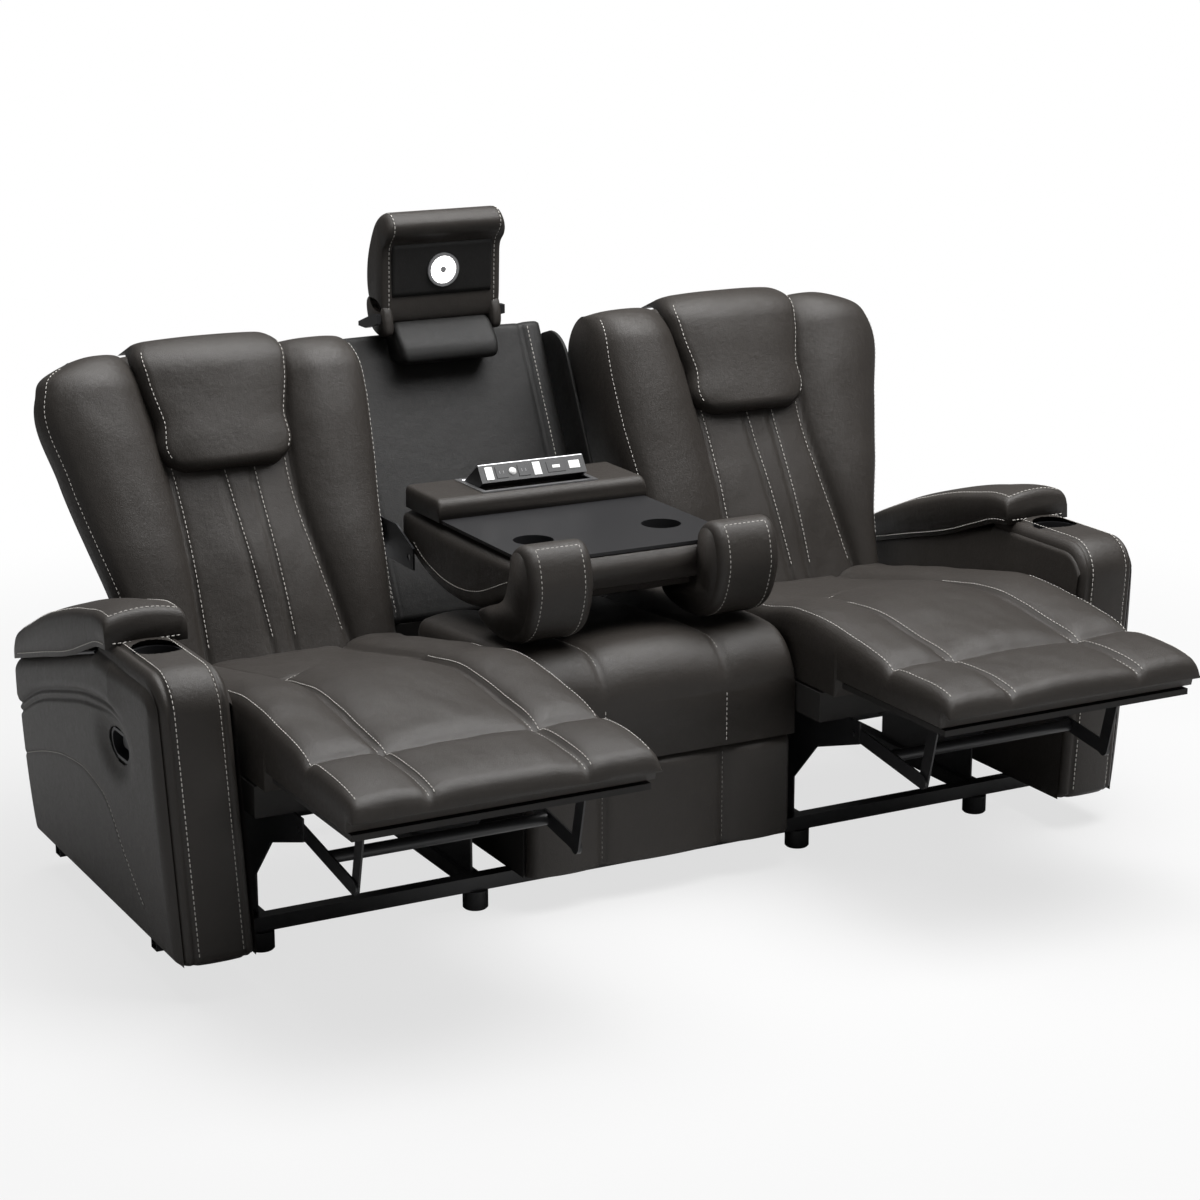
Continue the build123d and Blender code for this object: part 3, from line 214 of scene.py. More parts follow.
def ring_mesh(name, rings, body, material, replaced=(), closed=True):
    """A mesh through rings of points, capped if they are closed, on a body and in place of CAD nodes."""
    rings = np.asarray(rings)
    count, around = rings.shape[:2]
    faces = []
    last = around if closed else around - 1
    for i in range(count - 1):
        for j in range(last):
            k = (j + 1) % around
            faces.append((i * around + j, i * around + k, (i + 1) * around + k, (i + 1) * around + j))
    if closed:
        faces.append(tuple(reversed(range(around))))
        faces.append(tuple((count - 1) * around + j for j in range(around)))
    mesh = bpy.data.meshes.new(name)
    mesh.from_pydata(rings.reshape(-1, 3).tolist(), [], faces)
    mesh.validate()
    mesh.shade_smooth()
    mesh.materials.append(material)
    piece = bpy.data.objects.new(name, mesh)
    bpy.context.collection.objects.link(piece)
    if body:
        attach(piece, body)
    if replaced:
        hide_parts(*replaced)
    return piece


class Patch:
    """A padded surface along a path: x across, t along, and a height out of the path."""

    def __init__(self, path, low, high, height, base, edge=0.03, taper=(0.0, 0.0)):
        self.path = path
        self.low, self.high = low, high
        self.height = height
        self.base = base
        self.edge = edge
        self.taper = taper

    def top(self, x, t):
        """Height out of the path at a place, with the long edges rounded off."""
        x = np.asarray(x, float)
        inset = np.minimum(x - self.low(t), self.high(t) - x)
        return self.height(x, t) - rounded_drop(np.maximum(inset, 0), self.edge)

    def world(self, x, t, h):
        """Points in the frame for arrays of x and height at one t."""
        start, out = self.path(t)
        points = np.array(start) + np.outer(h, np.array(out))
        points[:, 0] += x
        return points

    def point(self, x, t, lift=0.0):
        """One point on the surface."""
        h = self.top(np.array([x]), t) + lift
        return self.world(np.array([x]), t, h)[0]

    def normal(self, x, t, step=0.002):
        """Outward normal on the surface."""
        across = self.point(x + step, t) - self.point(x - step, t)
        down = self.point(x, t + step) - self.point(x, t - step)
        found = np.cross(across, down)
        found /= np.linalg.norm(found) + 1e-12
        return found if found @ np.array(self.path(t)[1]) > 0 else -found

    def rings(self, ts, count=96):
        """Closed rings across the pad at each t, closer points near its long edges."""
        share = np.linspace(0, 1, count)
        spread = 0.65 * share + 0.35 * (0.5 - 0.5 * np.cos(pi * share))
        made = []
        for t in ts:
            low, high, base = self.low(t), self.high(t), self.base(t)
            x = low + (high - low) * spread
            upper = self.world(x, t, np.maximum(self.top(x, t), base + 0.003))
            under = self.world(np.linspace(high - self.taper[1], low + self.taper[0], 8), t, np.full(8, base))
            made.append(np.vstack([upper, under]))
        return np.array(made)


def fixed(value):
    """A size that stays the same along a patch."""
    return lambda t: value


def level(t):
    """Path straight back over the seat, t being the depth from the arm fronts."""
    return (0, ARM_FRONT + t, 0), (0, 0, 1)


def steps(start, end, count, rounding=0.0):
    """Values from start to end, the closer together near both ends the larger the rounding."""
    share = np.linspace(0, 1, count)
    ease = 0.5 - 0.5 * np.cos(pi * share)
    return start + (end - start) * ((1 - rounding) * share + rounding * ease)


STITCHES = {}


def stitch(patch, path, body):
    """Lay dashes of thread along a path of (x, t) places on a patch."""
    path = np.asarray(path, float)
    points = np.array([patch.point(x, t, STITCH_LIFT) for x, t in path])
    sew(points, [patch.normal(x, t) for x, t in path], body)


def sew(points, normals, body):
    """Lay dashes of thread along points with their surface normals, kept for the body."""
    points, normals = np.asarray(points), np.asarray(normals)
    length = np.concatenate([[0], np.cumsum(np.linalg.norm(np.diff(points, axis=0), axis=1))])
    store = STITCHES.setdefault(body, ([], []))
    for start in np.arange(0.002, length[-1] - STITCH_LENGTH, STITCH_PITCH):
        ends = []
        for place in (start, start + STITCH_LENGTH):
            ends.append([np.interp(place, length, points[:, k]) for k in range(3)])
        middle = start + STITCH_LENGTH / 2
        normal = np.array([np.interp(middle, length, normals[:, k]) for k in range(3)])
        normal /= np.linalg.norm(normal) + 1e-12
        ends = np.array(ends)
        run = ends[1] - ends[0]
        side = np.cross(normal, run)
        side *= STITCH_WIDTH / 2 / (np.linalg.norm(side) + 1e-12)
        up = normal * STITCH_WIDTH * 0.45
        number = len(store[0])
        waist = run * 0.18
        store[0].extend([ends[0] - up, ends[0] + side + waist, ends[0] - side + waist, ends[0] + up + waist,
                         ends[1] - up, ends[1] + side - waist, ends[1] - side - waist, ends[1] + up - waist])
        quads = ((0, 1, 3), (0, 3, 2), (1, 5, 7, 3), (3, 7, 6, 2), (5, 4, 7), (7, 4, 6))
        store[1].extend(tuple(number + k for k in quad) for quad in quads)


def straight(x0, t0, x1, t1, count=40):
    """Path between two places on a patch."""
    return np.column_stack([np.linspace(x0, x1, count), np.linspace(t0, t1, count)])


def bend(knots):
    """Smooth curve through (t, value) knots."""
    t, value = np.array(knots, float).T
    slopes = np.gradient(value, t)

    def curve(at):
        at = np.clip(at, t[0], t[-1])
        i = np.clip(np.searchsorted(t, at) - 1, 0, len(t) - 2)
        width = t[i + 1] - t[i]
        s = (at - t[i]) / width
        return ((1 + 2 * s) * (1 - s) ** 2 * value[i] + s * (1 - s) ** 2 * width * slopes[i]
                + s * s * (3 - 2 * s) * value[i + 1] + s * s * (s - 1) * width * slopes[i + 1])
    return curve


# Chaise pads: each runs from the seat's rear over the knee to the footrest's rolled end
CHAISE_TOP = bend([(PAD_FRONT, 0.499), (-0.40, 0.508), (-0.235, 0.513), (-0.12, 0.525), (0.0, 0.538),
                   (0.08, 0.540), (0.25, 0.516), (0.45, 0.480), (0.64, 0.442)])
CHAISE_REAR = 0.652
BOARD_TOP = 0.446
NOSE_LIFT = 0.022
NOSE_END = -0.427
WEBBING_TOP = 0.407
SEAM_END = 0.26
EDGE_SEAM = 0.016
SEAM_INSET = 0.150
FOOT_SEAM = -0.235
SEAT_ARC = 0.25
ARC_BOW = 0.05
NOSE = 0.027
CHAISE_SWELL = bend([(PAD_FRONT, 0.007), (-0.40, 0.012), (-0.30, 0.017), (0.65, 0.017)])


def chaise_height(center):
    """Top of a chaise pad: three channels, a crease at the footrest's seam and a stitched arc on the seat."""
    low, high = center - SEAT_HALF, center + SEAT_HALF
    seams = [low, low + SEAM_INSET, high - SEAM_INSET, high]

    def height(x, t):
        swell = CHAISE_SWELL(t)
        soft = 1 - 0.75 * np.exp(-((t - FOOT_SEAM) / 0.030) ** 2)
        arc = SEAT_ARC + ARC_BOW * (1 - np.clip(np.abs(x - center) / (SEAT_HALF - SEAM_INSET), 0, 1) ** 2)
        inner = np.abs(x - center) < SEAT_HALF - SEAM_INSET
        fade = np.where(inner, np.clip((arc - t) / 0.05, 0.1, 1) ** 0.5, 1)
        z = CHAISE_TOP(t) + lobes(x, seams, swell, 2.8) * soft * fade
        for seam in seams[1:3]:
            z += groove(x - seam, 0.006, 0.009)
        z += groove(t - FOOT_SEAM, 0.007, 0.010)
        z += np.where(inner, groove(t - arc, 0.006, 0.010), 0)
        z -= rounded_drop(max(t - PAD_FRONT, 0), NOSE)
        z += 0.0030 * uneven(x, t, 7, 9, center)
        return z + 0.0022 * uneven(x, t, 26, 14, center + 3)
    return height, seams


def chaise_base(t):
    """Underside of a chaise pad: on the footrest board in front, on the webbing behind."""
    return BOARD_TOP + NOSE_LIFT * (t < NOSE_END) if t < FOLD_DEPTH else WEBBING_TOP


for name, side in SIDES.items():
    center = side * SEAT_CENTER
    height, seams = chaise_height(center)
    pad = Patch(level, fixed(center - SEAT_HALF), fixed(center + SEAT_HALF), height, chaise_base, edge=0.020)
    ts = np.concatenate([steps(PAD_FRONT, -0.38, 16), np.linspace(-0.374, CHAISE_REAR, 210)])
    piece = ring_mesh(f"{name}_chaise_pad", pad.rings(ts), None, HIDE)
    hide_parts(f"{name}_seat_cushion", f"{name}_footrest_pad")
    crossing = f"{name}_chaise"
    for seam in seams[1:3]:
        for x in (seam, seam + 0.011):
            stitch(pad, straight(x, PAD_FRONT + 0.012, x, SEAM_END, 200), crossing)
    for edge_x in (center - SEAT_HALF + EDGE_SEAM, center + SEAT_HALF - EDGE_SEAM):
        stitch(pad, straight(edge_x, PAD_FRONT + 0.02, edge_x, 0.45, 200), crossing)
    arc_x = np.linspace(seams[1], seams[2], 60)
    arc_t = SEAT_ARC + ARC_BOW * (1 - (np.abs(arc_x - center) / (SEAT_HALF - SEAM_INSET)) ** 2)
    stitch(pad, np.column_stack([arc_x, arc_t - 0.010]), crossing)
    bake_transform(piece)

# Middle seat: a cushion that rolls over the front, and a lower front panel
MID_HALF = 0.303
MID_SEAM = 0.140
MID_TOP = bend([(CENTER_FRONT, 0.506), (0.2, 0.511), (0.4, 0.500), (0.63, 0.482)])
MID_ROLL = 0.088
MID_START = CENTER_FRONT - 0.014
MID_SEAMS = [-MID_HALF, -MID_SEAM, MID_SEAM, MID_HALF]
CREASE_Z = 0.290


def mid_height(x, t):
    """Top of the middle cushion."""
    z = MID_TOP(t) + lobes(x, MID_SEAMS, 0.012)
    for seam in MID_SEAMS[1:3]:
        z += groove(x - seam, 0.005, 0.009)
    z -= rounded_drop(max(t - MID_START, 0), MID_ROLL)
    return z + 0.003 * uneven(x, t, 8, 8, 5)


mid = Patch(level, fixed(-MID_HALF), fixed(MID_HALF), mid_height,
            lambda t: WEBBING_TOP if t > CENTER_FRONT + 0.03 else CREASE_Z + 0.004, edge=0.020)
ts = np.concatenate([MID_START + MID_ROLL * (1 - np.cos(np.linspace(0, pi / 2, 22))),
                     np.linspace(0.18, 0.62, 60)])
ring_mesh("center_seat_pad", mid.rings(ts), "frame", HIDE, ["center_seat_cushion"])
for seam in MID_SEAMS[1:3]:
    stitch(mid, straight(seam, 0.125, seam, 0.34, 80), "frame")

# The cushion's own front face and the panel under it, as shallow pads facing forward
FRONT_TOP = 0.464
BEHIND_ROLL = 0.014
FRONT_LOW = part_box("center_front_panel")[0].z + 0.004


def front_height(x, t):
    """Bulge of the middle seat's front, with a crease across it."""
    z = FRONT_TOP - t
    h = 0.007 + lobes(x, MID_SEAMS, 0.012) - BEHIND_ROLL * (z > CREASE_Z)
    for seam in MID_SEAMS[1:3]:
        h += groove(x - seam, 0.006, 0.009)
    h += groove(z - CREASE_Z, 0.010, 0.008)
    h -= rounded_drop(max(z - FRONT_LOW, 0), 0.012) + rounded_drop(max(t, 0), 0.042)
    return h


front = Patch(lambda t: ((0, ARM_FRONT + CENTER_FRONT + 0.004, FRONT_TOP - t), (0, -1, 0)),
              fixed(-MID_HALF), fixed(MID_HALF), front_height, fixed(-0.020), edge=0.016)
ts = steps(0.0, FRONT_TOP - FRONT_LOW, 90, 0.5)
ring_mesh("center_front_pad", front.rings(ts), "frame", HIDE, ["center_front_panel"])
for seam in MID_SEAMS[1:3]:
    stitch(front, straight(seam, FRONT_TOP - CREASE_Z + 0.012, seam, FRONT_TOP - FRONT_LOW - 0.01, 60),
           "frame")
    drop = [(seam, ARM_FRONT + MID_START - 0.0004, z) for z in np.linspace(CREASE_Z + 0.012, 0.415, 60)]
    sew(drop, [(0, -1, 0)] * len(drop), "frame")

# Reclining backs: bolsters down both sides that roll over the top, and fanned seams below the pillow
UP = Vector((0, sin(BACK_LEAN), cos(BACK_LEAN)))
OUT = Vector((0, -cos(BACK_LEAN), sin(BACK_LEAN)))
BACK_TOP = 0.642
BACK_LOW = -0.046
BACK_REAR = -0.086
BACK_ROLL = 0.090
BACK_REAR_ROLL = 0.075
BACK_TAPER = 0.062
FAN = ((-0.025, 0.020), (0.043, 0.070))
FAN_TOP = 0.390
INNER_EDGE = bend([(BACK_LOW, 0.316), (0.235, 0.306), (0.38, 0.292), (0.58, 0.290), (0.66, 0.304)])
OUTER_EDGE = bend([(BACK_LOW, 0.912), (0.10, 0.922), (0.235, 0.956), (0.38, 0.990), (0.56, 1.010),
                   (0.600, 0.990), (0.645, 0.905)])
INNER_SEAM = bend([(BACK_LOW, -0.118), (FAN_TOP, -0.134), (0.50, -0.148), (BACK_TOP, -0.172)])
OUTER_SEAM = bend([(BACK_LOW, 0.205), (FAN_TOP, 0.137), (0.46, 0.142), (BACK_TOP, 0.168)])
BOLSTER_SWELL = bend([(BACK_LOW, 0.014), (0.25, 0.036), (0.45, 0.046), (0.68, 0.040)])


def back_path(t):
    """Path up the front of a leaning back."""
    return BACK_FOOT + UP * t, OUT


def back_height(side):
    """Front of a back: side bolsters, a flat middle and its fan of sewn seams."""
    middle = side * PILLOW_X

    def height(x, t):
        low, high = sorted((side * INNER_EDGE(t), side * OUTER_EDGE(t)))
        seams = [low, middle + INNER_SEAM(t), middle + OUTER_SEAM(t), high]
        h = 0.084 + 0.010 * np.exp(-((t - 0.16) / 0.14) ** 2)
        h = h + lobes(x, seams[:2], BOLSTER_SWELL(t), 2.4) + lobes(x, seams[2:], BOLSTER_SWELL(t), 2.4)
        h = h + lobes(x, seams[1:3], 0.014, 2.4)
        for seam in seams[1:3]:
            h += groove(x - seam, 0.006, 0.008)
        if t < FAN_TOP:
            share = 1 - t / FAN_TOP
            for top, foot in FAN:
                h += groove(x - middle - top - (foot - top) * share, 0.006, 0.007)
        h -= rounded_drop(max(BACK_TOP - t, 0), BACK_ROLL)
        h += 0.003 * uneven(x, t, 6, 5, 2 + side)
        return h + 0.0012 * uneven(x, t, 22, 12, 7 + side)
    return height


for name, side in SIDES.items():
    low = INNER_EDGE if side > 0 else (lambda t: -OUTER_EDGE(t))
    high = OUTER_EDGE if side > 0 else (lambda t: -INNER_EDGE(t))
    back = Patch(back_path, low, high, back_height(side),
                 lambda t: BACK_REAR + rounded_drop(max(BACK_TOP - t, 0), BACK_REAR_ROLL), edge=0.034,
                 taper=(BACK_TAPER, 0.0) if side < 0 else (0.0, BACK_TAPER))
    ts = np.concatenate([np.linspace(BACK_LOW, BACK_TOP - BACK_ROLL - 0.004, 108),
                         BACK_TOP - BACK_ROLL * (1 - np.sin(np.linspace(0.05, pi / 2, 24)))])
    ring_mesh(f"{name}_back_pad", back.rings(ts, 110), f"{name}_back", HIDE,
              [f"{name}_back_frame", f"{name}_back_cushion"])
    middle = side * PILLOW_X
    for top, foot in FAN:
        stitch(back, straight(middle + top + 0.008, FAN_TOP, middle + foot + 0.008, 0.0, 90), f"{name}_back")
    for seam, inward in ((INNER_SEAM, 0.009), (OUTER_SEAM, -0.009)):
        stitch(back, [(middle + seam(t) + inward, t) for t in np.linspace(0.0, FAN_TOP, 90)], f"{name}_back")
    for edge, inward in ((low, 1), (high, -1)):
        line = [(edge(t) + inward * 0.012, t) for t in np.linspace(0.05, BACK_TOP - 0.02, 120)]
        stitch(back, line, f"{name}_back")

# Head pillows: wide at the top, narrow below, on the front of each back
PILLOW_LOW = 0.368
PILLOW_HIGH = 0.664
PILLOW_ROLL = 0.088
PILLOW_HALF = bend([(PILLOW_LOW, 0.104), (PILLOW_LOW + 0.018, 0.128), (0.48, 0.144), (0.57, 0.162),
                    (0.63, 0.162), (PILLOW_HIGH, 0.140)])


def pillow_height(middle):
    """Front of a head pillow."""
    def height(x, t):
        share = np.abs(x - middle) / PILLOW_HALF(t)
        h = 0.110 + 0.024 * (1 - np.clip(share, 0, 1) ** 2.8)
        h -= rounded_drop(max(t - PILLOW_LOW, 0), 0.024) + rounded_drop(max(PILLOW_HIGH - t, 0), PILLOW_ROLL)
        return h + 0.003 * uneven(x, t, 9, 9, 11)
    return height


for name, side in SIDES.items():
    middle = side * PILLOW_X
    pillow = Patch(back_path, lambda t: middle - PILLOW_HALF(t), lambda t: middle + PILLOW_HALF(t),
                   pillow_height(middle),
                   lambda t: 0.060 - 1.7 * rounded_drop(max(PILLOW_HIGH - t, 0), PILLOW_ROLL), edge=0.022)
    ts = np.concatenate([PILLOW_LOW + 0.030 * (1 - np.cos(np.linspace(0.1, pi / 2, 14))),
                         np.linspace(PILLOW_LOW + 0.036, PILLOW_HIGH - PILLOW_ROLL - 0.005, 24),
                         PILLOW_HIGH - PILLOW_ROLL * (1 - np.sin(np.linspace(0.05, pi / 2, 20)))])
    ring_mesh(f"{name}_pillow_pad", pillow.rings(ts, 70), f"{name}_back", HIDE,
              [f"{name}_head_pillow"])
    for sign in (-1, 1):
        line = [(middle + sign * (PILLOW_HALF(t) - 0.012), t)
                for t in np.linspace(PILLOW_LOW + 0.03, PILLOW_HIGH - 0.03, 70)]
        stitch(pillow, line, f"{name}_back")

# Arms: a rolled front panel with the cup hole, and padded sides, the outer one with the handle's hole
ARM_FLARE = 0.06
ARM_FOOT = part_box("left_arm_front")[0].z
ARM_IN = 0.928
ARM_OUT = 1.067
DECK_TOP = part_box("left_arm_front")[1].z
DECK_END = 0.316
FRONT_ROLL = 0.062
CUP_X, CUP_DEPTH, CUP_HOLE = 1.029, 0.190, 0.0485
HANDLE_DEPTH, HANDLE_Z = 0.236, 0.441
HOLE_LONG, HOLE_HIGH = 0.058, 0.036
HOLLOW_LONG, HOLLOW_HIGH = 0.085, 0.060
ARM_SEAM, ARM_STITCH = 0.020, 0.026
SIDE_DROP = 0.012
GROOVE_START, GROOVE_FADE, GROOVE_GAP = 0.14, 0.09, 0.018
SIDE_START, SIDE_END = 0.004, 0.850
SLOPE_START = 0.320
RISE = DECK_TOP - FRONT_ROLL - ARM_FOOT
ROLL_RUN = FRONT_ROLL * pi / 2
SLOPE = (0.455 - 0.600) / (SIDE_END - SLOPE_START)


def arm_path(t):
    """Path up the arm's front, over the roll and back along the deck."""
    if t < RISE:
        return (0, ARM_FRONT, ARM_FOOT + t), (0, -1, 0)
    if t < RISE + ROLL_RUN:
        turn = (t - RISE) / FRONT_ROLL
        return ((0, ARM_FRONT + FRONT_ROLL * (1 - cos(turn)), DECK_TOP - FRONT_ROLL + FRONT_ROLL * sin(turn)),
                (0, -cos(turn), sin(turn)))
    return (0, ARM_FRONT + FRONT_ROLL + t - RISE - ROLL_RUN, DECK_TOP), (0, 0, 1)


def flare(t):
    """How far the arm's edges lean out along its path."""
    return ARM_FLARE * (arm_path(t)[0][2] - ARM_FOOT)


def arm_height(low, high):
    """Slightly padded front with a seam inside each edge."""
    def height(x, t):
        h = np.full_like(x, 0.010)
        for seam in (low(t) + ARM_SEAM, high(t) - ARM_SEAM):
            h += groove(x - seam, 0.004, 0.005)
        h += lobes(x, [low(t) + ARM_SEAM, high(t) - ARM_SEAM], 0.004)
        return h - rounded_drop(max(t, 0), 0.016)
    return height


def without(piece, inside):
    """Delete the faces whose middles lie inside a hole."""
    mesh = piece.data
    keep = [tuple(face.vertices) for face in mesh.polygons if not inside(face.center)]
    places = [tuple(v.co) for v in mesh.vertices]
    material = mesh.materials[0]
    mesh.clear_geometry()
    mesh.from_pydata(places, [], keep)
    mesh.shade_smooth()
    if not mesh.materials:
        mesh.materials.append(material)


ARM_END = RISE + ROLL_RUN + DECK_END - FRONT_ROLL


def side_top(depth):
    """Height of an arm's side at a depth: round the front roll, along the deck and down the slope."""
    if depth < FRONT_ROLL:
        return DECK_TOP - SIDE_DROP - FRONT_ROLL + sqrt(FRONT_ROLL ** 2 - (FRONT_ROLL - depth) ** 2)
    if depth < SLOPE_START:
        return DECK_TOP - SIDE_DROP
    return DECK_TOP - 0.018 + SLOPE * (depth - SLOPE_START)


SIDE_GROOVE = bend([(0.190, 0.512), (0.255, 0.520), (0.353, 0.512), (0.563, 0.465), (0.721, 0.418),
                    (0.890, 0.339)])
SIDE_SEAM = bend([(0.158, 0.146), (0.208, 0.190), (0.258, 0.241), (0.307, 0.299), (0.400, 0.332),
                  (0.554, 0.328), (0.698, 0.297), (0.864, 0.245)])

for name, side in SIDES.items():
    bases = sorted((side * ARM_IN, side * ARM_OUT))
    low = lambda t, b=bases[0]: b + side * flare(t)
    high = lambda t, b=bases[1]: b + side * flare(t)
    arm = Patch(arm_path, low, high, arm_height(low, high), fixed(-0.022), edge=0.026)
    ts = np.concatenate([np.linspace(0, RISE, 40), RISE + np.linspace(0.004, ROLL_RUN, 16),
                         np.linspace(RISE + ROLL_RUN + 0.003, ARM_END, 80)])
    piece = ring_mesh(f"{name}_arm_front_pad", arm.rings(ts, 64), "frame", HIDE,
                      [f"{name}_arm_front"])
    cup = Vector((side * CUP_X, ARM_FRONT + CUP_DEPTH))
    without(piece, lambda p: p.z > 0.55 and (Vector((p.x, p.y)) - cup).length < CUP_HOLE)
    for edge, inward in ((low, 1), (high, -1)):
        line = [(edge(t) + inward * ARM_STITCH, t) for t in np.linspace(0.02, ARM_END - 0.01, 160)]
        stitch(arm, line, "frame")

    rows = []
    inner_rows = []
    share = np.linspace(0, 1, 150)
    for depth in np.linspace(SIDE_START, SIDE_END, 240):
        top = side_top(depth)
        z = ARM_FOOT + (top - ARM_FOOT) * share
        swell = 0.010 + 0.008 * np.sin(pi * share) ** 0.5
        front = np.clip((depth - GROOVE_START) / GROOVE_FADE, 0, 1) ** 2
        for offset in (0.0, GROOVE_GAP):
            swell = swell + front * groove(z - SIDE_GROOVE(depth) + offset, 0.0045, 0.0045)
        swell = swell + front * 0.005 * np.clip((z - SIDE_GROOVE(depth)) / 0.02, 0, 1)
        swell = swell + groove(z - SIDE_SEAM(depth), 0.002, 0.004) * (depth > 0.15)
        away = np.hypot((depth - HANDLE_DEPTH) / HOLLOW_LONG, (z - HANDLE_Z) / HOLLOW_HIGH)
        swell = swell * (1 - 0.85 * np.exp(-away ** 4))
        swell = swell - rounded_drop(top - z, 0.034) - rounded_drop(z - ARM_FOOT, 0.016)
        swell = swell - rounded_drop(max(depth - SIDE_START, 0), 0.022)
        x = side * (ARM_OUT + ARM_FLARE * (z - ARM_FOOT) + np.maximum(swell, 0.0003))
        rows.append(np.column_stack([x, np.full_like(z, ARM_FRONT + depth), z]))
        puff = 0.004 * np.sin(pi * share) ** 0.4 + 0.002
        puff = puff - rounded_drop(top - z, 0.012)
        x = side * (ARM_IN + ARM_FLARE * (z - ARM_FOOT) - np.maximum(puff, -0.006))
        inner_rows.append(np.column_stack([x, np.full_like(z, ARM_FRONT + depth), z]))
    piece = ring_mesh(f"{name}_arm_inner_pad", inner_rows, "frame", HIDE, closed=False)
    skin = ring_mesh(f"{name}_arm_side_pad", rows, "frame", HIDE, closed=False)
    seam = [(side * (ARM_OUT + ARM_FLARE * (SIDE_SEAM(d) - ARM_FOOT) + 0.0168), ARM_FRONT + d, SIDE_SEAM(d))
            for d in np.linspace(0.158, 0.84, 160)]
    sew(seam, [(side, 0, 0)] * len(seam), "frame")
    without(skin, lambda p: (((p.y - ARM_FRONT - HANDLE_DEPTH) / HOLE_LONG) ** 2
                             + ((p.z - HANDLE_Z) / HOLE_HIGH) ** 2 < 1))

# Arm lids: box cushions from behind the cup, bending down along the arm, stitched along the border's edges
LID_LOW, LID_HIGH = 0.946, 1.109
LID_FRONT, LID_END = 0.250, 0.846
LID_SPAN = 0.060
RIM_RISE = 0.010
LID_UNDER = bend([(LID_FRONT, 0.626), (0.300, 0.620), (0.370, 0.596), (0.450, 0.566), (0.650, 0.510),
                  (LID_END, 0.456)])
LID_THICK = bend([(LID_FRONT, 0.056), (0.318, 0.064), (0.45, 0.084), (0.65, 0.076), (LID_END, 0.048)])


def lid_path(t):
    """Path back along the underside of a lid, t being the depth from the arm fronts."""
    slope = (LID_UNDER(t + LID_SPAN) - LID_UNDER(t - LID_SPAN)) / (2 * LID_SPAN)
    length = sqrt(1 + slope * slope)
    return (0, ARM_FRONT + t, LID_UNDER(t)), (0, -slope / length, 1 / length)


def lid_height(x, t):
    """Crowned top of a lid with a rounded front and rear."""
    across_share = (np.abs(x) - (LID_LOW + LID_HIGH) / 2) / (LID_HIGH - LID_LOW) * 2
    h = LID_THICK(t) + 0.014 * (1 - across_share ** 2)
    h = h - rounded_drop(max(t - LID_FRONT, 0), 0.016) - rounded_drop(max(LID_END - t, 0), 0.030)
    return h + 0.002 * uneven(x, t, 9, 9, 15)


for name, side in SIDES.items():
    low, high = sorted((side * LID_LOW, side * LID_HIGH))
    lid = Patch(lid_path, fixed(low), fixed(high), lid_height, fixed(0.0), edge=0.013)
    ring_mesh(f"{name}_lid_pad", lid.rings(steps(LID_FRONT, LID_END, 110, 0.6), 70), f"{name}_lid", HIDE,
              [f"{name}_arm_lid"])
    along = np.linspace(LID_FRONT + 0.008, LID_END - 0.02, 140)
    for x, out in ((low, -1), (high, 1)):
        stitch(lid, [(x - out * 0.014, t) for t in along], f"{name}_lid")
        rim = [lid.world(np.array([x + out * 0.0006]), t, np.array([RIM_RISE]))[0] for t in along]
        sew(rim, [(out, 0, 0)] * len(rim), f"{name}_lid")
    front = np.linspace(low + 0.012, high - 0.012, 40)
    stitch(lid, [(x, LID_FRONT + 0.010) for x in front], f"{name}_lid")
    rim = [(x, ARM_FRONT + LID_FRONT - 0.0006, LID_UNDER(LID_FRONT) + RIM_RISE) for x in front]
    sew(rim, [(0, -1, 0)] * len(rim), f"{name}_lid")


def closed_curve(knots, count=72):
    """Smooth closed curve through (depth, z) knots."""
    knots = np.array(knots, float)
    number = len(knots)
    made = []
    for place in np.arange(count) * number / count:
        i = int(place)
        s = place - i
        a, b, c, d = (knots[(i + k) % number] for k in (-1, 0, 1, 2))
        made.append(0.5 * (2 * b + (c - a) * s + (2 * a - 5 * b + 4 * c - d) * s * s
                           + (3 * b - a - 3 * c + d) * s ** 3))
    return np.array(made)


def across(profile, low, high, edge, count=60):
    """Rings of a profile of (depth, z) places from one x to another, drawn in at both ends."""
    middle = profile.mean(axis=0)
    reach = np.linalg.norm(profile - middle, axis=1).mean()
    made = []
    for x in steps(low, high, count, 0.9):
        share = 1 - rounded_drop(max(min(x - low, high - x), 0.0004), edge) / reach
        places = middle + (profile - middle) * share
        made.append(np.column_stack([np.full(len(places), x), ARM_FRONT + places[:, 0], places[:, 1]]))
    return np.array(made)


# Console: a padded wedge, two curved horns in front and a padded box behind
CONSOLE_HALF = 0.252
CONSOLE_FRONT, CONSOLE_REAR = 0.216, 0.790
CONSOLE_TOP = 0.686
CONSOLE_SEAM = 0.045
SQUARENESS = 0.30
TROUGH_HALF, TROUGH_Z = 0.212, 0.600
CONSOLE_BASE = bend([(CONSOLE_FRONT, 0.622), (0.30, 0.590), (0.44, 0.540), (0.60, 0.534), (0.70, 0.560),
                     (CONSOLE_REAR, 0.612)])
TROUGH_FRONT, TROUGH_STEP, TROUGH_REAR = 0.24, 0.61, 0.775


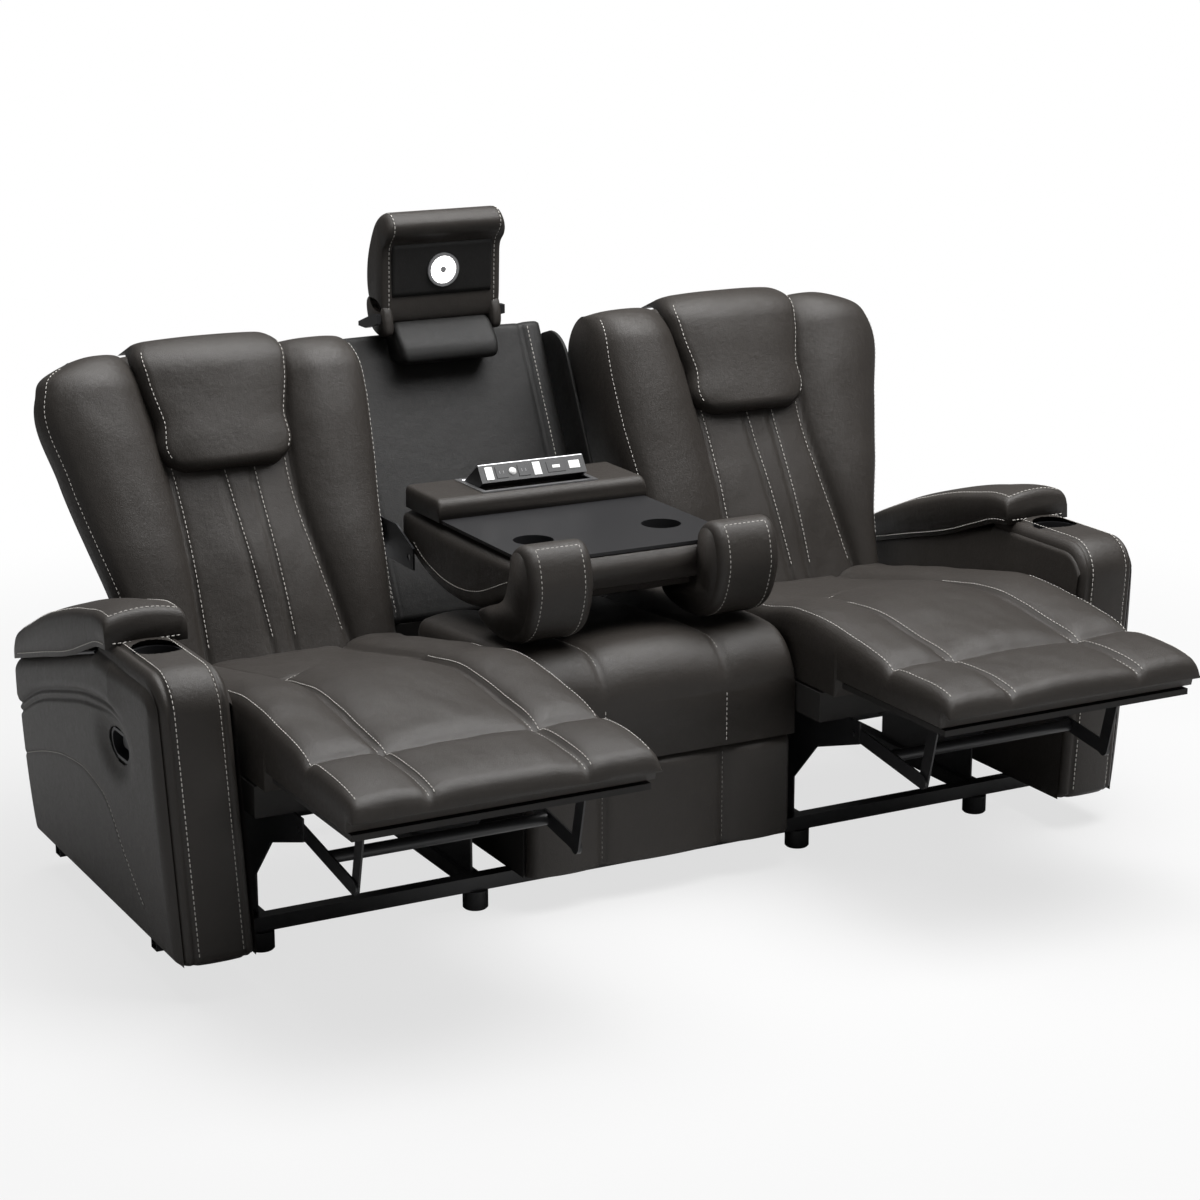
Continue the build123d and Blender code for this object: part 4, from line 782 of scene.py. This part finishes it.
def console_ring(depth):
    """Section of the console at a depth: bulging sides and a trough under the tray."""
    turn = np.linspace(0, 2 * pi, 160, endpoint=False)
    base = CONSOLE_BASE(depth)
    rise = (CONSOLE_TOP - base) / 2
    x = (CONSOLE_HALF + 0.004) * np.sign(np.cos(turn)) * np.abs(np.cos(turn)) ** SQUARENESS
    z = base + rise + rise * np.sign(np.sin(turn)) * np.abs(np.sin(turn)) ** SQUARENESS
    trough = (np.abs(x) < TROUGH_HALF) & (z > base + rise) & (TROUGH_FRONT < depth < TROUGH_REAR)
    z = np.where(trough, TROUGH_Z + 0.02 * (depth > TROUGH_STEP), z)
    return np.column_stack([x, np.full_like(x, ARM_FRONT + depth), z])


ring_mesh("console_pad", np.array([console_ring(d) for d in steps(CONSOLE_FRONT, CONSOLE_REAR, 90, 0.3)]),
          "console", HIDE, ["console_body"])
for side in (-1, 1):
    depths = np.linspace(CONSOLE_FRONT + 0.01, CONSOLE_REAR - 0.05, 120)
    points = [(side * (CONSOLE_HALF + 0.0045), ARM_FRONT + d, CONSOLE_BASE(d) + CONSOLE_SEAM) for d in depths]
    sew(points, [(side, 0, 0)] * len(points), "console")

HORN_LOW, HORN_HIGH = 0.142, 0.286
HORN = [(0.122, 0.640), (0.126, 0.700), (0.146, 0.736), (0.176, 0.744), (0.206, 0.728), (0.218, 0.680),
        (0.250, 0.614), (0.330, 0.580), (0.380, 0.556), (0.330, 0.532), (0.230, 0.529), (0.156, 0.566)]
HORN_MIDDLE = (0.185, 0.640)
HORN_CORNER = 0.024
HORN_FACE, HORN_THROAT, HORN_CHIN = 0.150, 0.24, 0.62
for name, side in SIDES.items():
    low, high = sorted((side * HORN_LOW, side * HORN_HIGH))
    profile = closed_curve(HORN, 96)
    ring_mesh(f"{name}_horn_pad", across(profile, low, high, 0.020), "console", HIDE,
              ["console_horns"] if side < 0 else [])
    front = np.array([(d, z) for d, z in profile if d < HORN_FACE or (z < HORN_CHIN and d < HORN_THROAT)])
    front = front[np.argsort(-front[:, 1])]
    seams = low + HORN_CORNER, high - HORN_CORNER
    left = [(seams[0], *place) for place in front]
    top = [(x, *front[0]) for x in np.linspace(*seams, 12)[1:-1]]
    right = [(seams[1], *place) for place in front]
    loop = left[::-1] + top + right
    points = [(x, ARM_FRONT + d, z) for x, d, z in loop]
    sew(points, [(0, d - HORN_MIDDLE[0], z - HORN_MIDDLE[1]) for x, d, z in loop], "console")

# Power box: a padded block behind the tray, open where the strip sinks in
BOX_FRONT, BOX_REAR = 0.622, 0.790
BOX_HALF = 0.249
BOX_TOP = 0.738
BOX_ROLL = 0.020
POCKET_EDGE = 0.006
POCKET = [corner.copy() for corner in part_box("power_strip_frame")]


def box_height(x, t):
    """Top of the power box, rolled over at the front."""
    return BOX_TOP - rounded_drop(np.full_like(x, max(t - BOX_FRONT, 0)), BOX_ROLL)


box = Patch(level, fixed(-BOX_HALF), fixed(BOX_HALF), box_height, fixed(0.690), edge=0.012)
ts = np.concatenate([BOX_FRONT + BOX_ROLL * (1 - np.cos(np.linspace(0, pi / 2, 10))),
                     np.linspace(0.646, BOX_REAR, 60)])
piece = ring_mesh("power_box_pad", box.rings(ts, 120), "console", HIDE, ["console_power_box"])
without(piece, lambda p: (p.z > 0.70 and POCKET[0].x + POCKET_EDGE < p.x < POCKET[1].x - POCKET_EDGE
                          and POCKET[0].y + POCKET_EDGE < p.y < POCKET[1].y - POCKET_EDGE))

# Pop-up strip: an aluminium lid over a black wedge with outlets, blank plates and a round cover
STRIP_LEAN = radians(35)
STRIP_AXIS = Vector((0, ARM_FRONT + 0.755, BOX_TOP - 0.004))
STRIP_FRONT = Vector((0, -cos(STRIP_LEAN), sin(STRIP_LEAN)))
STRIP_UP = Vector((0, sin(STRIP_LEAN), cos(STRIP_LEAN)))
STRIP_HALF = 0.126
STRIP_LENGTH = 0.084
FACE_MIDDLE = -0.0155


def strip_box(name, xs, forward, up, material, replaced=()):
    """A block on the strip, by its ranges of x, distance to the front and height."""
    corners = [STRIP_AXIS + Vector((x, 0, 0)) + STRIP_FRONT * f + STRIP_UP * u
               for x in xs for f in forward for u in up]
    faces = [(0, 1, 3, 2), (4, 6, 7, 5), (0, 4, 5, 1), (2, 3, 7, 6), (0, 2, 6, 4), (1, 5, 7, 3)]
    mesh = bpy.data.meshes.new(name)
    mesh.from_pydata([tuple(c) for c in corners], [], faces)
    mesh.materials.append(material)
    piece = bpy.data.objects.new(name, mesh)
    bpy.context.scene.collection.objects.link(piece)
    rounding = piece.modifiers.new("edges", "BEVEL")
    rounding.width = 0.0006
    rounding.segments = 2
    if replaced:
        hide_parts(*replaced)
    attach(piece, "power_strip")


def face_plate(name, x, half_width, half_height, material, out=0.0016, replaced=()):
    """A plate on the strip's front."""
    strip_box(name, (x - half_width, x + half_width), (STRIP_LENGTH - 0.001, STRIP_LENGTH + out),
              (FACE_MIDDLE - half_height, FACE_MIDDLE + half_height), material, replaced)


def face_disc(name, x, radius, material, out):
    """A round cover on the strip's front."""
    middle = STRIP_AXIS + Vector((x, 0, 0)) + STRIP_UP * FACE_MIDDLE
    turns = np.linspace(0, 2 * pi, 32, endpoint=False)
    rings = [[middle + STRIP_FRONT * f + Vector((radius * cos(a), 0, 0)) + STRIP_UP * radius * sin(a)
              for a in turns] for f in (STRIP_LENGTH - 0.001, STRIP_LENGTH + out)]
    ring_mesh(name, rings, "power_strip", material)


strip_box("strip_lid", (-STRIP_HALF + 0.0005, STRIP_HALF - 0.0005), (-0.005, STRIP_LENGTH - 0.0005),
          (0.0045, 0.0068), ALUMINIUM)
face_plate("strip_plate_left", -0.104, 0.009, 0.015, PLASTIC_WHITE, replaced=["power_strip_outlets"])
face_plate("strip_plate_middle", 0.010, 0.009, 0.015, PLASTIC_WHITE)
face_plate("strip_plate_right", 0.100, 0.013, 0.009, PLASTIC_WHITE)
face_plate("strip_port_panel", 0.056, 0.022, 0.013, PLASTIC, 0.0010)
face_plate("strip_port", 0.056, 0.009, 0.0035, PLASTIC_WHITE, 0.0014)
face_disc("strip_cover", -0.0485, 0.0085, PLASTIC_WHITE, 0.0016)
for number, x in enumerate((-0.075, -0.022)):
    face_plate(f"strip_outlet_{number}", x, 0.0135, 0.0135, PLASTIC, 0.0012)
    for slot, offset in enumerate((-0.0045, 0.0045)):
        face_plate(f"strip_slot_{number}_{slot}", x + offset, 0.0008, 0.0036, PLASTIC_GREY, 0.0014)

# Head pad: a curved shell over the hinge, with a darker panel around the lamp
HEAD_HALF = 0.146
HEAD_FACE = 1.135
HEAD_STITCH = 0.016
HEAD = [(1.131, 1.038), (1.124, 1.130), (1.118, 1.196), (1.090, 1.230), (1.088, 1.256), (1.118, 1.276),
        (1.168, 1.256), (1.212, 1.176), (1.222, 1.098), (1.200, 1.044), (1.156, 1.028)]
CHEEK = [(1.118, 1.004), (1.128, 1.062), (1.170, 1.084), (1.218, 1.074), (1.210, 1.026), (1.166, 0.998)]
CHEEK_WIDTH = 0.024
profile = closed_curve(HEAD, 96)
ring_mesh("headrest_shell", across(profile, -HEAD_HALF, HEAD_HALF, 0.022, 70), "headrest", HIDE,
          ["headrest_pad"])
for name, side in SIDES.items():
    low, high = sorted((side * (HEAD_HALF - CHEEK_WIDTH), side * HEAD_HALF))
    cheek = across(closed_curve(CHEEK, 56), low, high, 0.008, 20)
    piece = ring_mesh(f"{name}_headrest_cheek", cheek, "headrest", HIDE)
rim = sorted((place for place in profile if place[0] < HEAD_FACE), key=lambda place: place[1])
for x in (-HEAD_HALF + HEAD_STITCH, HEAD_HALF - HEAD_STITCH):
    points = [(x, ARM_FRONT + d - 0.0004, z) for d, z in rim]
    sew(points, [(0, -1, 0.1)] * len(points), "headrest")

# Black lining on the head pad's face, around the lamp
FACE_LOW = Vector((0, ARM_FRONT + 1.131, 1.050))
FACE_HIGH = Vector((0, ARM_FRONT + 1.117, 1.204))
FACE_RUN = (FACE_HIGH - FACE_LOW).normalized()
FACE_OUT = Vector((0, -FACE_RUN.z, FACE_RUN.y))
LINING_HALF = 0.124
LINING_START = 0.036
LINING_LENGTH = (FACE_HIGH - FACE_LOW).length
lining = Patch(lambda t: (FACE_LOW + FACE_RUN * t, FACE_OUT), fixed(-LINING_HALF), fixed(LINING_HALF),
               lambda x, t: np.full_like(x, 0.0042), fixed(-0.010), edge=0.004)
piece = ring_mesh("headrest_lining", lining.rings(steps(LINING_START, LINING_LENGTH, 12), 40), "headrest",
                  VINYL)

# Tongue below the head pad, padded on its front
TONGUE_HALF = 0.119
TONGUE = [(1.076, 0.945), (1.078, 0.974), (1.102, 1.002), (1.130, 1.025), (1.160, 1.030), (1.192, 1.004),
          (1.166, 0.944), (1.118, 0.934)]
ring_mesh("tongue_pad", across(closed_curve(TONGUE, 56), -TONGUE_HALF, TONGUE_HALF, 0.014, 40), "frame",
          VINYL, ["headrest_tongue"])

# Fixed middle back: a vinyl panel with stitched side strips and a thin wing along each side
PANEL_SLOPE = Vector((0, sin(PANEL_LEAN), cos(PANEL_LEAN)))
PANEL_OUT = Vector((0, -cos(PANEL_LEAN), sin(PANEL_LEAN)))
PANEL_FOOT, PANEL_TOP = 0.404, 0.994
PANEL_DEPTH, PANEL_DEPTH_Z = 0.978, 0.590
PANEL_START = Vector((0, ARM_FRONT + PANEL_DEPTH - (PANEL_DEPTH_Z - PANEL_FOOT) * tan(PANEL_LEAN),
                      PANEL_FOOT))
PANEL_HALF = 0.274
PANEL_RUN = (PANEL_TOP - PANEL_FOOT) / cos(PANEL_LEAN)
PANEL_SEAM = 0.222
PANEL_STITCH = 0.236
WING = 0.088
WING_LOW, WING_HIGH = 0.2775, 0.2855
WING_START, WING_END = 0.17, PANEL_RUN - 0.03


def panel_path(t):
    """Path up the middle back's front."""
    return PANEL_START + PANEL_SLOPE * t, PANEL_OUT


def panel_height(x, t):
    """Thin padded skin with a seam along each side strip."""
    h = 0.004 + lobes(x, [-PANEL_HALF, -PANEL_SEAM, PANEL_SEAM, PANEL_HALF], 0.006)
    for seam in (-PANEL_SEAM, PANEL_SEAM):
        h += groove(x - seam, 0.003, 0.006)
    return h - rounded_drop(max(t, 0), 0.006) - rounded_drop(max(PANEL_RUN - t, 0), 0.012)


def wing_height(x, t):
    """Reach of a side wing ahead of the panel, rounded off at its top."""
    return np.full_like(x, WING - rounded_drop(max(WING_END - t, 0), WING))


panel = Patch(panel_path, fixed(-PANEL_HALF), fixed(PANEL_HALF), panel_height, fixed(-0.066), edge=0.010)
ring_mesh("center_back_skin", panel.rings(steps(0.0, PANEL_RUN, 50, 0.5), 80), "frame", VINYL,
          ["center_back_panel"])
for name, side in SIDES.items():
    low, high = sorted((side * WING_LOW, side * WING_HIGH))
    wing = Patch(panel_path, fixed(low), fixed(high), wing_height, fixed(-0.020), edge=0.003)
    piece = ring_mesh(f"{name}_center_wing", wing.rings(steps(WING_START, WING_END, 40, 0.5), 10), "frame",
                      VINYL)
for x in (-PANEL_STITCH, PANEL_STITCH):
    stitch(panel, straight(x, 0.02, x, PANEL_RUN - 0.01, 80), "frame")

# Thread: all dashes of a body in one mesh
for key, (places, faces) in STITCHES.items():
    mesh = bpy.data.meshes.new(f"{key}_stitches")
    mesh.from_pydata([tuple(place) for place in places], [], faces)
    mesh.materials.append(THREAD)
    piece = bpy.data.objects.new(f"{key}_stitches", mesh)
    bpy.context.scene.collection.objects.link(piece)
    if key.endswith("_chaise"):
        side = key.split("_")[0]
        center = SIDES[side] * SEAT_CENTER
        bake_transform(piece)
    else:
        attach(piece, key)

# Stage: a pale floor, soft lights and a white background
FLOOR_GLOW = 0.72
FLOOR_NEAR, FLOOR_FAR, FLOOR_REACH = 1.7, 3.2, 14.0


def fading_floor(name, near, far):
    """A pale floor that takes shadows near the sofa and fades to white further out."""
    material, tree, surface = new_material(name)
    surface.inputs["Base Color"].default_value = (0.50, 0.50, 0.50, 1)
    surface.inputs["Roughness"].default_value = 0.95
    surface.inputs["Specular IOR Level"].default_value = 0.0
    place = make(tree, "ShaderNodeTexCoord", out="Object")
    far_out = make(tree, "ShaderNodeVectorMath", {0: place}, out="Value", operation="LENGTH")
    reach = {"Value": far_out, "From Min": near, "From Max": far, "To Min": FLOOR_GLOW}
    share = make(tree, "ShaderNodeMapRange", reach, interpolation_type="SMOOTHSTEP")
    seen = make(tree, "ShaderNodeLightPath", out="Is Camera Ray")
    share = make(tree, "ShaderNodeMath", {0: share, 1: seen}, operation="MULTIPLY")
    white = make(tree, "ShaderNodeEmission", {"Color": (1, 1, 1, 1), "Strength": 1.0})
    shaded = Sockets(tree, surface.outputs[0])
    blend = make(tree, "ShaderNodeMixShader", {0: share, 1: shaded, 2: white})
    output = next(n for n in tree.nodes if n.type == "OUTPUT_MATERIAL")
    tree.links.new(blend.out, output.inputs["Surface"])
    return material


floor_mesh = bpy.data.meshes.new("floor")
corners = [(x * FLOOR_REACH, y * FLOOR_REACH, 0) for x, y in ((-1, -1), (1, -1), (1, 1), (-1, 1))]
floor_mesh.from_pydata(corners, [], [(0, 1, 2, 3)])
floor_mesh.materials.append(fading_floor("pale_floor", FLOOR_NEAR, FLOOR_FAR))
floor = bpy.data.objects.new("floor", floor_mesh)
bpy.context.scene.collection.objects.link(floor)


def area_light(name, place, target, size, power):
    """A large soft light aimed at a place."""
    light = bpy.data.lights.new(name, "AREA")
    light.shape = "SQUARE"
    light.size = size
    light.energy = power
    item = bpy.data.objects.new(name, light)
    item.location = place
    item.rotation_euler = (Vector(target) - Vector(place)).to_track_quat("-Z", "Y").to_euler()
    bpy.context.scene.collection.objects.link(item)


area_light("key", (1.3, -0.9, 4.6), (0, -0.1, 0.5), 3.2, 330)
area_light("overhead", (-0.4, 0.9, 4.2), (0, 0, 0.4), 3.0, 130)
area_light("fill", (-3.6, -3.0, 2.6), (0, 0, 0.5), 2.6, 8)

world = bpy.data.worlds.new("studio")
bpy.context.scene.world = world
world.use_nodes = True
tree = world.node_tree
tree.nodes.clear()
ray = make(tree, "ShaderNodeLightPath", out="Is Camera Ray")
soft = make(tree, "ShaderNodeBackground", {"Color": (1, 1, 1, 1), "Strength": 0.12})
white = make(tree, "ShaderNodeBackground", {"Color": (1, 1, 1, 1), "Strength": 1.0})
mixed = make(tree, "ShaderNodeMixShader", {0: ray, 1: soft, 2: white})
make(tree, "ShaderNodeOutputWorld", {"Surface": mixed}, out=None)

CAMERA_DIP, CAMERA_TURN = 15.425, -28.410
camera = bpy.data.cameras.new("camera")
camera.sensor_width = 36.0
camera.lens = 86.21
camera.shift_x = -0.0119
camera.shift_y = 0.0082
viewer = bpy.data.objects.new("camera", camera)
viewer.location = (-2.719, ARM_FRONT - 4.718, 2.121)
viewer.rotation_euler = (radians(90 - CAMERA_DIP), 0, radians(CAMERA_TURN))
bpy.context.scene.collection.objects.link(viewer)
bpy.context.scene.camera = viewer
bpy.context.scene.view_settings.view_transform = "Standard"
